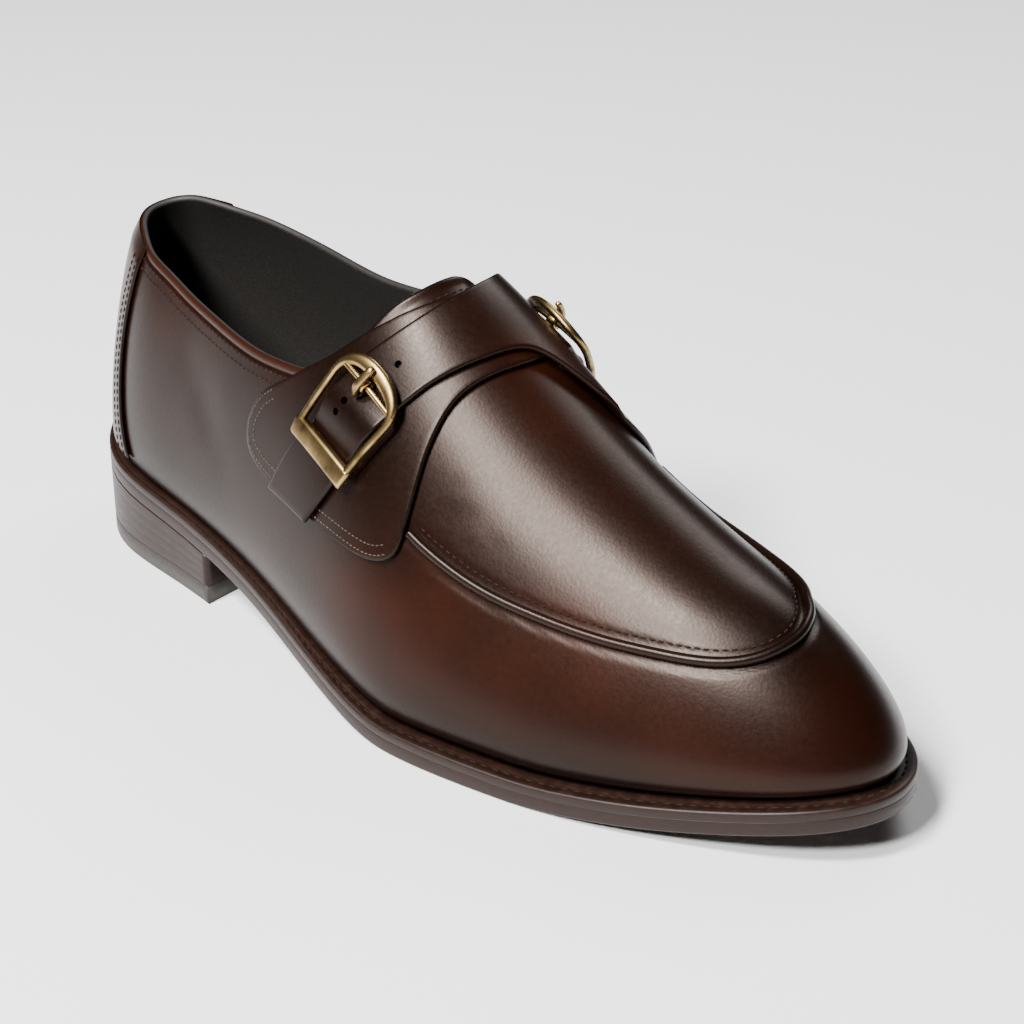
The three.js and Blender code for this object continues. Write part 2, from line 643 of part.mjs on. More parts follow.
// A bar swept along a path. Each station has its point, its up direction and its size, and corners
// holds the section as shares of half the width and of the height.
function sweep(stations, corners, closed) {
  const count = stations.length;
  const points = stations.flatMap((station, i) => {
    const ahead = stations[closed ? (i + 1) % count : Math.min(i + 1, count - 1)].point;
    const behind = stations[closed ? (i + count - 1) % count : Math.max(i - 1, 0)].point;
    const along = ahead.clone().sub(behind).normalize();
    const side = station.up.clone().cross(along).normalize();
    const up = along.clone().cross(side);
    return corners.map(([across, high]) =>
      station.point
        .clone()
        .addScaledVector(side, (across * station.width) / 2)
        .addScaledVector(up, high * station.height),
    );
  });
  const n = corners.length;
  const faces = [];
  for (let i = 0; i < (closed ? count : count - 1); i++) {
    const next = (i + 1) % count;
    for (let j = 0; j < n; j++) {
      const k = (j + 1) % n;
      faces.push([i * n + j, next * n + j, next * n + k], [i * n + j, next * n + k, i * n + k]);
    }
  }
  const end = (count - 1) * n;
  for (let j = 1; j < n - 1 && !closed; j++) {
    faces.push([0, j, j + 1], [end, end + j + 1, end + j]);
  }
  return geometryFrom(points, faces);
}

// The apron's raised seam, from under the outer wing round the toe to under the inner wing.
// side is -1 on the outer side and 1 on the inner; girth is its place from the ridge down.
const apron = [
  { side: -1, at: 0.582, girth: 0.531 },
  { side: -1, at: 0.618, girth: 0.54 },
  { side: -1, at: 0.67, girth: 0.541 },
  { side: -1, at: 0.725, girth: 0.52 },
  { side: -1, at: 0.778, girth: 0.49 },
  { side: -1, at: 0.829, girth: 0.448 },
  { side: -1, at: 0.883, girth: 0.401 },
  { side: -1, at: 0.93, girth: 0.352 },
  { side: -1, at: 0.972, girth: 0.302 },
  { side: 1, at: 1, girth: 0.25 },
  { side: 1, at: 0.972, girth: 0.222 },
  { side: 1, at: 0.93, girth: 0.214 },
  { side: 1, at: 0.88, girth: 0.251 },
  { side: 1, at: 0.83, girth: 0.308 },
  { side: 1, at: 0.77, girth: 0.366 },
  { side: 1, at: 0.715, girth: 0.405 },
  { side: 1, at: 0.655, girth: 0.41 },
];
const cordSection = [[-1, 0], [-0.85, 0.6], [-0.4, 1], [0.4, 1], [0.85, 0.6], [1, 0]];

function makePiping() {
  const rows = apron.map((_, i) => i);
  const turn = ({ side, at }) => (side < 0 ? angleAt(at) : 2 * full - angleAt(at));
  const angle = spline(rows, apron.map(turn));
  const girth = spline(rows, column(apron, "girth"));
  const stations = spread(40, 0, apron.length - 1).map((t) => ({
    point: offLast(angle(t), girth(t), gap),
    up: lastNormal(angle(t), liftAt(angle(t), girth(t))),
    width: pipingWidth,
    height: pipingRise,
  }));
  return sweep(stations, cordSection, false);
}

// The heel counter's front edge on both sides, from the topline down to the welt.
const counterEdge = [
  { girth: 0.2, at: 0.106 },
  { girth: 0.29, at: 0.099 },
  { girth: 0.43, at: 0.093 },
  { girth: 0.58, at: 0.091 },
  { girth: 0.72, at: 0.098 },
  { girth: 0.85, at: 0.112 },
  { girth: 0.97, at: 0.131 },
];
const counterEdgeAt = spline(column(counterEdge, "girth"), column(counterEdge, "at"));

// Girth where the topline crosses a section: below it the upper stands.
function toplineGirth(angle) {
  for (const girth of spread(200, 0.1, 0.7)) {
    const p = offLast(angle, girth, 0);
    if (p.z < toplineHeight(p.x / soleLength) + toplineTilt * p.y - gap) return girth;
  }
  return 0.7;
}

function makeCounter() {
  const face = (out) =>
    spread(18, -1, 1).map((turn) => {
      const edge = angleAt(counterEdgeAt(0.3));
      const round = (a) => (turn < 0 ? -turn * a : 2 * full - turn * a);
      const top = toplineGirth(round(edge));
      return spread(9, top, 0.955).map((girth) =>
        offLast(round(angleAt(counterEdgeAt(girth))), girth, out),
      );
    });
  return slab(face(1.5 * gap), face(1.5 * gap + counterThickness));
}

// The buckles: each centre and turn on the upper. The bar end points down the side.
const buckles = [
  { name: "outer", side: -1, at: 0.4945, girth: 0.408, turn: 0.45 },
  { name: "inner", side: 1, at: 0.5375, girth: 0.28, turn: 0.3 },
];
const rod = spread(8).slice(0, -1).map((k) => [Math.cos(2 * full * k), Math.sin(2 * full * k) / 2]);
const barEnd = -0.42 * buckleLength;
const archEnd = 0.5 * buckleLength - crownWidth / 2;
const innerBar = 0.287 * buckleLength;
const overStrap = 2 * (gap + strapThickness) + gap;

// A point and the surface's normal at a mm to the toe and b mm up the strap from a buckle's centre.
function buckleStation(buckle, a, b, out, width = wireThickness) {
  const turned = (share) => (buckle.side < 0 ? angleAt(share) : 2 * full - angleAt(share));
  const here = (share, girth) => offLast(turned(share), girth, 0);
  const step = 0.01;
  const { at, girth } = buckle;
  const along = here(at + step, girth).sub(here(at - step, girth)).divideScalar(2 * step);
  const up = here(at, girth - step).sub(here(at, girth + step)).divideScalar(2 * step);
  const climb = along.dot(up) / up.length();
  const forward = a * Math.cos(buckle.turn) + b * Math.sin(buckle.turn);
  const rise = -a * Math.sin(buckle.turn) + b * Math.cos(buckle.turn);
  const moved = forward / Math.sqrt(along.lengthSq() - climb * climb);
  const angle = turned(at + moved);
  const place = girth - (rise - moved * climb) / up.length();
  const normal = lastNormal(angle, liftAt(angle, place));
  return { point: offLast(angle, place, out), up: normal, width, height: width };
}

// How far a buckle's wire lies off the upper at b mm up the strap.
const archLevel = (b) => overStrap + archRise * (Math.max(0, b) / archEnd) ** 2;

function makeBuckle(buckle) {
  const half = (buckleWidth - wireThickness) / 2;
  const shoulder = 0.15 * buckleLength;
  const handle = shoulder + 0.7 * (archEnd - shoulder);
  const outline = new THREE.Path();
  outline.moveTo(-half, barEnd);
  outline.lineTo(-half, shoulder);
  outline.bezierCurveTo(-half, handle, -0.6 * half, archEnd, 0, archEnd);
  outline.bezierCurveTo(0.6 * half, archEnd, half, handle, half, shoulder);
  outline.lineTo(half, barEnd);
  const ring = outline.getSpacedPoints(22).map(({ x, y }) => {
    const crown = Math.max(0, (y - shoulder) / (archEnd - shoulder)) ** 2;
    const width = wireThickness + (crownWidth - wireThickness) * crown;
    const out = archLevel(y) + wireThickness / 2;
    return { ...buckleStation(buckle, x, y, out, width), height: wireThickness };
  });
  const loop = toSolid(sweep(ring, rod, false));
  const cross = spread(3, -half, half).map((a) =>
    buckleStation(buckle, a, innerBar, archLevel(innerBar) + wireThickness / 2, 0.8 * wireThickness),
  );
  const bar = (out) =>
    spread(6, -buckleWidth / 2, buckleWidth / 2).map((a) =>
      spread(2, barEnd - barWidth / 2, barEnd + barWidth / 2).map(
        (b) => buckleStation(buckle, a, b, out).point,
      ),
    );
  const plateSolid = toSolid(slab(bar(overStrap), bar(overStrap + barThickness)));
  return toGeometry(loop.add(toSolid(sweep(cross, rod, false))).add(plateSolid));
}

// The prong lies over the arch and the inner bar, and its point dips into the strap's hole.
const prongPath = [
  { place: 0.44, level: 1 },
  { place: 0.37, level: 1.08 },
  { place: 0.27, level: 1.08 },
  { place: 0.215, level: 0.75 },
  { place: 0.175, level: 0.3 },
];

function makeProng(buckle) {
  const base = overStrap + prongThickness / 2;
  const stations = prongPath.map(({ place, level }, i) => {
    const size = prongThickness * (1 - (0.2 * i) / (prongPath.length - 1));
    const b = place * buckleLength;
    const lift = archLevel(Math.min(b, archEnd)) - overStrap;
    return buckleStation(buckle, prongShift, b, base + gap + lift + level * wireThickness, size);
  });
  return toGeometry(toSolid(sweep(stations, rod, false)));
}

const leather = { color: 0x3b1d14, roughness: 0.32, metalness: 0 };
const finishes = {
  calf: new THREE.MeshStandardMaterial(leather),
  lining: new THREE.MeshStandardMaterial({ color: 0x1b1a17, roughness: 0.8, metalness: 0 }),
  edge: new THREE.MeshStandardMaterial({ color: 0x2a1712, roughness: 0.4, metalness: 0 }),
  rubber: new THREE.MeshStandardMaterial({ color: 0x2b231f, roughness: 0.7, metalness: 0 }),
  brass: new THREE.MeshStandardMaterial({ color: 0xa8844a, roughness: 0.35, metalness: 1 }),
};

const shoe = new THREE.Group();
function add(name, geometry, finish) {
  const mesh = new THREE.Mesh(geometry, finishes[finish]);
  mesh.name = name;
  shoe.add(mesh);
}

add("outsole", makeOutsole(), "edge");
add("welt", makeWelt(), "edge");
add("heel_stack", makeHeelStack(), "edge");
add("heel_top_piece", makeTopPiece(), "rubber");
add("insole", makeInsole(), "lining");
add("upper", makeUpper(), "calf");
add("tongue", makeTongue(), "calf");
add("outer_wing", makeOuterWing(), "calf");
add("inner_wing", makeInnerWing(), "calf");
add("apron_piping", makePiping(), "calf");
add("heel_counter", makeCounter(), "calf");
for (const side of buckles) {
  add(side.name + "_buckle", makeBuckle(side), "brass");
  add(side.name + "_prong", makeProng(side), "brass");
}

const box = new THREE.Box3().setFromObject(shoe);
shoe.position.set(-(box.min.x + box.max.x) / 2, -(box.min.y + box.max.y) / 2, -box.min.z);

export default shoe;
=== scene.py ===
import math

import bmesh
import bpy
import numpy as np
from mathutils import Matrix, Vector
from mathutils.bvhtree import BVHTree


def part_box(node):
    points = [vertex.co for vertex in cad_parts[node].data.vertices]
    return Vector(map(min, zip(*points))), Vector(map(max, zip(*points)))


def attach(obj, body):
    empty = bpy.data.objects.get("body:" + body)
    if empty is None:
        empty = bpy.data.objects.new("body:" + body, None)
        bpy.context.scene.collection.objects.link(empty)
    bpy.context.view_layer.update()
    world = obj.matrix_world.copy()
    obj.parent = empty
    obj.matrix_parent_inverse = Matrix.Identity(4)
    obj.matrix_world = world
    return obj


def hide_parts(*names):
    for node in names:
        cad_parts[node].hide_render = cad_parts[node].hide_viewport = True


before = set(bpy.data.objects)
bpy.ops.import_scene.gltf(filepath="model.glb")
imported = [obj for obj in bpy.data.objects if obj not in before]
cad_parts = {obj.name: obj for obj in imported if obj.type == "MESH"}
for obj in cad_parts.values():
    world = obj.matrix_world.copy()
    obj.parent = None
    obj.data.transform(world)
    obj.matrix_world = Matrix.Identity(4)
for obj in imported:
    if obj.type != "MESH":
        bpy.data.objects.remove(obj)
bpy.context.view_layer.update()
mm = 0.001
print("frame loaded")


def toLinear(hexColour):
    parts = [int(hexColour[i : i + 2], 16) / 255 for i in (1, 3, 5)]
    return [p / 12.92 if p <= 0.04045 else ((p + 0.055) / 1.055) ** 2.4 for p in parts] + [1]


def addNode(tree, kind, settings=None, links=None):
    node = tree.nodes.new(kind)
    for name, value in (settings or {}).items():
        if isinstance(name, str) and hasattr(node, name):
            setattr(node, name, value)
        else:
            node.inputs[name].default_value = value
    for name, source in (links or {}).items():
        tree.links.new(source, node.inputs[name])
    return node


# The last: sizes in mm, then short tables against shares of the length from the heel.
last = {
    "soleLength": 305,
    "ballWidth": 105,
    "heelHeight": 24.5,
    "toeSpring": 11.5,
    "outsole": 4.2,
    "welt": 2.4,
    "gap": 0.3,
    "instepHeight": 111,
    "backHeight": 101,
    "ankleHeight": 92,
    "toplineTilt": 0.2,  # the inner side stands higher
    "outerSwellPeak": 0.18,  # share of a section's height where each side is fullest
    "innerSwellPeak": 0.28,
    "swellBlend": 0.6,  # sine of the angle over which the two sides part
    "heelCentre": 0.12,  # shares of the length where the sections fan out
    "toeCentre": 0.85,
    "fanBlend": 0.022,
    "toeSlope": 0.3,
}
solePlan = {
    "at": [0, 0.03, 0.11, 0.22, 0.34, 0.46, 0.58, 0.68, 0.78, 0.88, 0.955, 1],
    "outer": [0, 0.184, 0.333, 0.372, 0.42, 0.496, 0.556, 0.526, 0.455, 0.336, 0.212, 0],
    "inner": [0, 0.196, 0.276, 0.262, 0.206, 0.239, 0.37, 0.472, 0.485, 0.373, 0.232, 0],
}
soleProfile = {
    "at": [0, 0.275, 0.36, 0.49, 0.6, 0.72, 0.82, 1],
    "heel": [1, 0.65, 0.51, 0.2, 0, 0, 0, 0],
    "toe": [0, 0, 0, 0, 0, 0, 0.2, 1],
}
ledgePlan = {"at": [0, 0.2, 0.45, 0.65, 1], "ledge": [0.03, 0.03, 0.036, 0.052, 0.054]}
lastSections = {
    "at": [0, 0.05, 0.11, 0.2, 0.3, 0.4, 0.475, 0.58, 0.66, 0.76, 0.86, 0.94, 1],
    "crown": [1.1, 1.04, 1.03, 1.07, 1.09, 1.085, 1.052, 0.885, 0.75, 0.615, 0.515, 0.47, 0.44],
    "middle": [0, -0.01, -0.02, -0.02, -0.03, -0.025, -0.022, -0.02, -0.018, -0.01, -0.005, -0.003, 0],
    "outerWall": [1.85, 1.6, 1.45, 1.5, 1.9, 1.9, 1.8, 1.6, 1.6, 1.7, 2.05, 2.35, 2.5],
    "innerWall": [1.85, 1.9, 2.2, 2.4, 2.6, 2.4, 2.25, 2.15, 1.42, 1.07, 1.35, 1.85, 2.5],
    "outerBulge": [0.015, 0.005, 0.01, 0.03, 0.03, 0.03, 0.03, 0.03, 0.03, 0.03, 0.03, 0.03, 0.03],
    "innerBulge": [0.015, 0.015, 0.02, 0.05, 0.07, 0.08, 0.07, 0.03, 0.01, 0.01, 0.02, 0.028, 0.03],
}
topline = {
    "at": [-0.03, 0.03, 0.09, 0.12, 0.156, 0.205, 0.253, 0.3, 0.345, 0.38, 0.413, 0.46, 0.5, 0.54],
    "back": [0.995, 0.993, 0.988, 0.97, 0, 0, 0, 0, 0, 0, 0, 0, 0, 0],
    "ankle": [0, 0, 0, 0, 1.048, 1.022, 1.008, 0.998, 0.995, 1.002, 1.015, 0, 0, 0],
    "instep": [0, 0, 0, 0, 0, 0, 0, 0, 0, 0, 0, 0.885, 0.935, 0.985],
}
fullTurn = 2 * math.pi


def spline(xs, ys):  # natural cubic through the rows, as the solids use
    xs, ys = np.array(xs, float), np.array(ys, float)
    n = len(xs)
    bend, work = np.zeros(n), np.zeros(n)
    for i in range(1, n - 1):
        share = (xs[i] - xs[i - 1]) / (xs[i + 1] - xs[i - 1])
        pivot = share * bend[i - 1] + 2
        kink = (ys[i + 1] - ys[i]) / (xs[i + 1] - xs[i]) - (ys[i] - ys[i - 1]) / (xs[i] - xs[i - 1])
        bend[i] = (share - 1) / pivot
        work[i] = (6 * kink / (xs[i + 1] - xs[i - 1]) - share * work[i - 1]) / pivot
    for i in range(n - 2, -1, -1):
        bend[i] = bend[i] * bend[i + 1] + work[i]

    def curve(x):
        x = np.asarray(x, float)
        k = np.clip(np.searchsorted(xs, x, side="left") - 1, 0, n - 2)
        width = xs[k + 1] - xs[k]
        b = np.clip((x - xs[k]) / width, 0, 1)
        a = 1 - b
        rest = (a**3 - a) * bend[k] + (b**3 - b) * bend[k + 1]
        return a * ys[k] + b * ys[k + 1] + rest * width * width / 6

    return curve


def monotone(xs, ys):  # keeps level stretches level
    xs, ys = np.array(xs, float), np.array(ys, float)
    slope = np.diff(ys) / np.diff(xs)
    tangent = np.concatenate([[slope[0]], slope[1:] * 0, [slope[-1]]])
    for i in range(1, len(slope)):
        if slope[i - 1] * slope[i] > 0:
            tangent[i] = 2 * slope[i - 1] * slope[i] / (slope[i - 1] + slope[i])

    def curve(x):
        x = np.asarray(x, float)
        k = np.clip(np.searchsorted(xs, x, side="left") - 1, 0, len(xs) - 2)
        width = xs[k + 1] - xs[k]
        t = np.clip((x - xs[k]) / width, 0, 1)
        u = 1 - t
        level = ys[k] * u * u * (1 + 2 * t) + ys[k + 1] * t * t * (3 - 2 * t)
        return level + width * t * u * (tangent[k] * u - tangent[k + 1] * t)

    return curve


def column(table, name):
    return spline(table["at"], table[name])


def angleAt(share):
    return np.arccos(1 - 2 * np.clip(share, 0, 1))


def shareAt(angle):
    return (1 - np.cos(angle)) / 2


outerWidth = spline(angleAt(np.array(solePlan["at"])), solePlan["outer"])
innerWidth = spline(angleAt(np.array(solePlan["at"])), solePlan["inner"])
heelRise = monotone(soleProfile["at"], soleProfile["heel"])
toeRise = monotone(soleProfile["at"], soleProfile["toe"])
ledgeShare = column(ledgePlan, "ledge")
crownShare, middleShare = column(lastSections, "crown"), column(lastSections, "middle")
outerWall, innerWall = column(lastSections, "outerWall"), column(lastSections, "innerWall")
outerBulge, innerBulge = column(lastSections, "outerBulge"), column(lastSections, "innerBulge")
toplineHeights = [
    back * last["backHeight"] + ankle * last["ankleHeight"] + instep * last["instepHeight"]
    for back, ankle, instep in zip(topline["back"], topline["ankle"], topline["instep"])
]
toplineHeight = spline(topline["at"], toplineHeights)


def edgeAt(angle):  # the sole's edge in plan
    angle = np.mod(angle, fullTurn)
    outer = angle <= math.pi
    half = np.where(outer, -outerWidth(angle), innerWidth(fullTurn - angle))
    return np.stack([shareAt(angle) * last["soleLength"], half * last["ballWidth"]], -1)


def edgePoint(angle, inset):
    along = edgeAt(angle + 0.01) - edgeAt(angle - 0.01)
    along /= np.linalg.norm(along, axis=-1, keepdims=True)
    inward = np.stack([-along[..., 1], along[..., 0]], -1)
    return edgeAt(angle) + inward * np.asarray(inset, float)[..., None]


def soleUnder(share):
    return heelRise(share) * last["heelHeight"] + toeRise(share) * last["toeSpring"]


def weltTop(share):
    return soleUnder(share) + last["outsole"] + last["gap"] + last["welt"]


def ridgeShare(share):
    blend = last["fanBlend"]
    inside = last["heelCentre"] + blend * np.log1p(np.exp((share - last["heelCentre"]) / blend))
    return last["toeCentre"] - blend * np.log1p(np.exp((last["toeCentre"] - inside) / blend))


def lastPoint(angle, lift):  # lift runs from 0 at the feather edge to 1 on the ridge
    angle, lift = np.broadcast_arrays(np.mod(angle, fullTurn), lift)
    share = shareAt(angle)
    outer = angle <= math.pi
    edge = edgePoint(angle, ledgeShare(share) * last["ballWidth"])
    at = ridgeShare(share)
    ridge = np.stack([at * last["soleLength"], middleShare(at) * last["ballWidth"]], -1)
    crown = crownShare(np.minimum(share, np.maximum(at, last["heelCentre"]))) * last["instepHeight"]
    foot = weltTop(share) + last["gap"]
    out = np.maximum(0, np.cos(lift * math.pi / 2))
    rise = np.sin(lift * math.pi / 2) ** (2 / np.where(outer, outerWall(share), innerWall(share)))
    swell = np.where(outer, outerBulge(share), innerBulge(share)) * last["ballWidth"]
    apart = np.clip(np.abs(np.sin(angle)) / last["swellBlend"], 0, 1)
    apart = apart * apart * (3 - 2 * apart)
    middle = (last["outerSwellPeak"] + last["innerSwellPeak"]) / 2
    fullness = rise / (middle + (np.where(outer, last["outerSwellPeak"], last["innerSwellPeak"]) - middle) * apart)
    bulge = swell * fullness * np.exp(1 - fullness) * out
    radial = edge - ridge
    length = np.linalg.norm(radial, axis=-1, keepdims=True)
    radial = radial / length * (length * out[..., None] + bulge[..., None])
    fall = last["toeSlope"] * np.maximum(0, radial[..., 0]) * rise
    height = foot + (crown - foot) * rise - fall
    return np.concatenate([ridge + radial, height[..., None]], -1)


def lastNormal(angle, lift):
    angle = np.clip(angle, 0.004, fullTurn - 0.004)
    held = np.clip(lift, 0.004, 0.992)

    def side(a):
        around = lastPoint(a + 0.004, held) - lastPoint(a - 0.004, held)
        up = lastPoint(a, held + 0.004) - lastPoint(a, held - 0.004)
        normal = np.cross(around, up)
        return normal / np.linalg.norm(normal, axis=-1, keepdims=True)

    normal = side(angle)
    both = normal + side(fullTurn - angle)
    normal = np.where((lift > 1 - 1e-6)[..., None], both, normal)
    return normal / np.linalg.norm(normal, axis=-1, keepdims=True)


# The surface is tabled once, by angle round the shoe and girth: 0 on the ridge, 1 at the feather.
surfaceGrid = {"angles": 720, "girths": 160, "arcSteps": 120}


def tableSurface():
    angles = np.linspace(0, fullTurn, surfaceGrid["angles"] + 1)
    lifts = 1 - np.linspace(0, 1, surfaceGrid["arcSteps"] + 1)
    points = lastPoint(angles[:, None], lifts[None, :])
    steps = np.linalg.norm(np.diff(points, axis=1), axis=-1)
    sums = np.concatenate([np.zeros((len(angles), 1)), np.cumsum(steps, 1)], 1)
    girths = np.linspace(0, 1, surfaceGrid["girths"] + 1)
    wanted = np.stack([np.interp(girths * s[-1], s, lifts) for s in sums])
    wanted[:, 0] = 1
    around = np.broadcast_to(angles[:, None], wanted.shape)
    return lastPoint(around, wanted), lastNormal(around, wanted), sums[:, -1]


gridPoints, gridNormals, gridArcs = tableSurface()


def blendGrid(grid, angle, girth):  # Catmull-Rom both ways; over the ridge it goes on to the other side
    rows, cols = surfaceGrid["angles"], surfaceGrid["girths"]
    x = np.mod(angle, fullTurn) / fullTurn * rows
    y = np.clip(girth, 0, 1) * cols
    i, j = np.floor(x).astype(int), np.minimum(np.floor(y).astype(int), cols - 1)
    s, t = (x - i)[..., None], (y - j)[..., None]

    def weights(k):
        return [
            ((-k + 2) * k - 1) * k / 2,
            ((3 * k - 5) * k * k + 2) / 2,
            ((-3 * k + 4) * k + 1) * k / 2,
            (k - 1) * k * k / 2,
        ]

    total = 0
    for a, wa in zip((-1, 0, 1, 2), weights(s)):
        row = np.mod(i + a, rows)
        for b, wb in zip((-1, 0, 1, 2), weights(t)):
            line = j + b
            over = line < 0
            past = line > cols
            near = grid[np.where(over, np.mod(-row, rows), row), np.clip(np.abs(line), 0, cols)]
            beyond = 2 * grid[row, cols] - grid[row, cols - 1]
            total = total + wa * wb * np.where(past[..., None], beyond, near)
    return total


soleLow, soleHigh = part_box("outsole")
planEdge = edgeAt(np.linspace(0, fullTurn, 721))
offset = np.array([
    (soleLow.x + soleHigh.x) / 2 / mm - (planEdge[:, 0].min() + planEdge[:, 0].max()) / 2,
    (soleLow.y + soleHigh.y) / 2 / mm - (planEdge[:, 1].min() + planEdge[:, 1].max()) / 2,
    0,
])

# Soft troughs (+) and ridges (-) in mm: where they lie, in shares of length and girth.
creases = {
    "side": [-1, -1, -1, -1, -1, 1, 1, 1, -1, -1],
    "from": [(0.592, 0.5), (0.602, 0.47), (0.588, 0.44), (0.61, 0.52), (0.63, 0.5),
             (0.67, 0.36), (0.68, 0.31), (0.69, 0.27), (0.2, 0.5), (0.24, 0.58)],
    "to": [(0.618, 0.4), (0.632, 0.38), (0.612, 0.34), (0.655, 0.42), (0.672, 0.4),
           (0.7, 0.2), (0.72, 0.18), (0.73, 0.16), (0.3, 0.74), (0.33, 0.8)],
    "depth": [0.14, 0.12, 0.1, -0.1, 0.08, 0.16, 0.12, 0.1, 0.16, 0.14],
    "width": [1.3, 1.2, 1.1, 2.2, 1.6, 1.8, 1.6, 1.6, 7, 7],
}


def creaseDepth(angle, girth):
    side = np.where(angle <= math.pi, -1, 1)
    x = shareAt(angle) * last["soleLength"]
    y = girth * 100
    depth = np.zeros(np.shape(girth))
    rows = zip(creases["side"], creases["from"], creases["to"], creases["depth"], creases["width"])
    for which, start, end, deep, wide in rows:
        a = np.array([start[0] * last["soleLength"], start[1] * 100])
        b = np.array([end[0] * last["soleLength"], end[1] * 100])
        along = b - a
        reach = np.linalg.norm(along)
        t = ((x - a[0]) * along[0] + (y - a[1]) * along[1]) / reach**2
        bow = 3 * (0.25 - (t - 0.5) ** 2)
        off = ((x - a[0]) * along[1] - (y - a[1]) * along[0]) / reach - bow
        fade = np.clip(t * 4, 0, 1) * np.clip((1 - t) * 4, 0, 1)
        fade = fade * fade * (3 - 2 * fade)
        depth += np.where(side == which, deep * fade * np.exp(-((off / wide) ** 2)), 0)
    return depth


def onLast(angle, girth, out=0):
    angle, girth, out = np.broadcast_arrays(
        np.asarray(angle, float), np.asarray(girth, float), np.asarray(out, float)
    )
    normal = blendGrid(gridNormals, angle, girth)
    normal = normal / np.linalg.norm(normal, axis=-1, keepdims=True)
    lift = out - creaseDepth(angle, girth)
    return (blendGrid(gridPoints, angle, girth) + normal * lift[..., None] + offset) * mm


def onUpper(share, across, out=0):  # across runs from -1 at the outer feather to 1 at the inner one
    angle = angleAt(share)
    return onLast(np.where(np.asarray(across) <= 0, angle, fullTurn - angle), np.abs(across), out)


def arcAt(angle):
    return np.interp(np.mod(angle, fullTurn), np.linspace(0, fullTurn, len(gridArcs)), gridArcs)


print("last surface tabled")


def buildMesh(name, points, faces, material, smooth=True, attributes=None, merge=0.00002):
    mesh = bpy.data.meshes.new(name)
    mesh.from_pydata(np.asarray(points).reshape(-1, 3).tolist(), [], faces)
    for key, values in (attributes or {}).items():
        mesh.attributes.new(key, "FLOAT", "POINT").data.foreach_set("value", np.ravel(values))
    shape = bmesh.new()
    shape.from_mesh(mesh)
    bmesh.ops.remove_doubles(shape, verts=shape.verts, dist=merge)
    bmesh.ops.dissolve_degenerate(shape, edges=shape.edges, dist=merge / 4)
    bmesh.ops.recalc_face_normals(shape, faces=shape.faces)
    shape.to_mesh(mesh)
    shape.free()
    mesh.polygons.foreach_set("use_smooth", [smooth] * len(mesh.polygons))
    mesh.materials.append(material)
    piece = bpy.data.objects.new(name, mesh)
    bpy.context.scene.collection.objects.link(piece)
    return piece


def gridFaces(rows, cols, start=0, closed=False, flip=False):
    i, j = np.meshgrid(np.arange(rows - 1), np.arange(cols if closed else cols - 1), indexing="ij")
    k = (j + 1) % cols
    quads = np.stack([i * cols + j, (i + 1) * cols + j, (i + 1) * cols + k, i * cols + k], -1) + start
    quads = quads.reshape(-1, 4)
    return (quads[:, ::-1] if flip else quads).tolist()


def finishPiece(piece, slotName, *nodes):
    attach(piece, "root")
    if nodes:
        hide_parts(*nodes)
    return piece


# Burnished calf: aniline dyed box calf, waxed and brushed. It gives dark brown with red-brown
# depth, broad soft highlights and a fine pebble in them.
calfLook = {
    "dark": "#070201",
    "middle": "#160703",
    "warm": "#290e05",
    "edge": "#0a0402",
    # worn: the paler topline rim colour, partly rubbed wear and partly a painted highlight on the rolled rim
    "worn": "#2e150b",
    "darkenBelowHeight": 38,  # mm above the floor, where the darkening towards the sole begins
    "burnishFrom": 85,  # mm forward, where the darkening of the toe begins
    "cloudScale": 11,  # per metre: tone patches about 90 mm wide
    "grainWidth": 0.75,  # mm
    "grainDepth": 0.038,
    "roughness": 0.32,
    "specular": 0.19,
    "shine": "#ffe9dc",  # the dyed finish warms what it reflects
    "coat": 0.0,
    "coatRoughness": 0.2,
}


def newMaterial(name):
    material = bpy.data.materials.new(name)
    material.use_nodes = True
    tree = material.node_tree
    tree.nodes.clear()
    shader = addNode(tree, "ShaderNodeBsdfPrincipled")
    addNode(tree, "ShaderNodeOutputMaterial", links={"Surface": shader.outputs["BSDF"]})
    place = addNode(tree, "ShaderNodeTexCoord").outputs["Object"]
    return material, tree, shader, place


def rampBetween(tree, source, stops, interpolation="LINEAR"):
    ramp = addNode(tree, "ShaderNodeValToRGB", links={"Fac": source})
    ramp.color_ramp.interpolation = interpolation
    elements = ramp.color_ramp.elements
    while len(elements) < len(stops):
        elements.new(0.5)
    for element, (position, colour) in zip(elements, stops):
        element.position = position
        element.color = toLinear(colour) if isinstance(colour, str) else (colour, colour, colour, 1)
    return ramp.outputs["Color"]


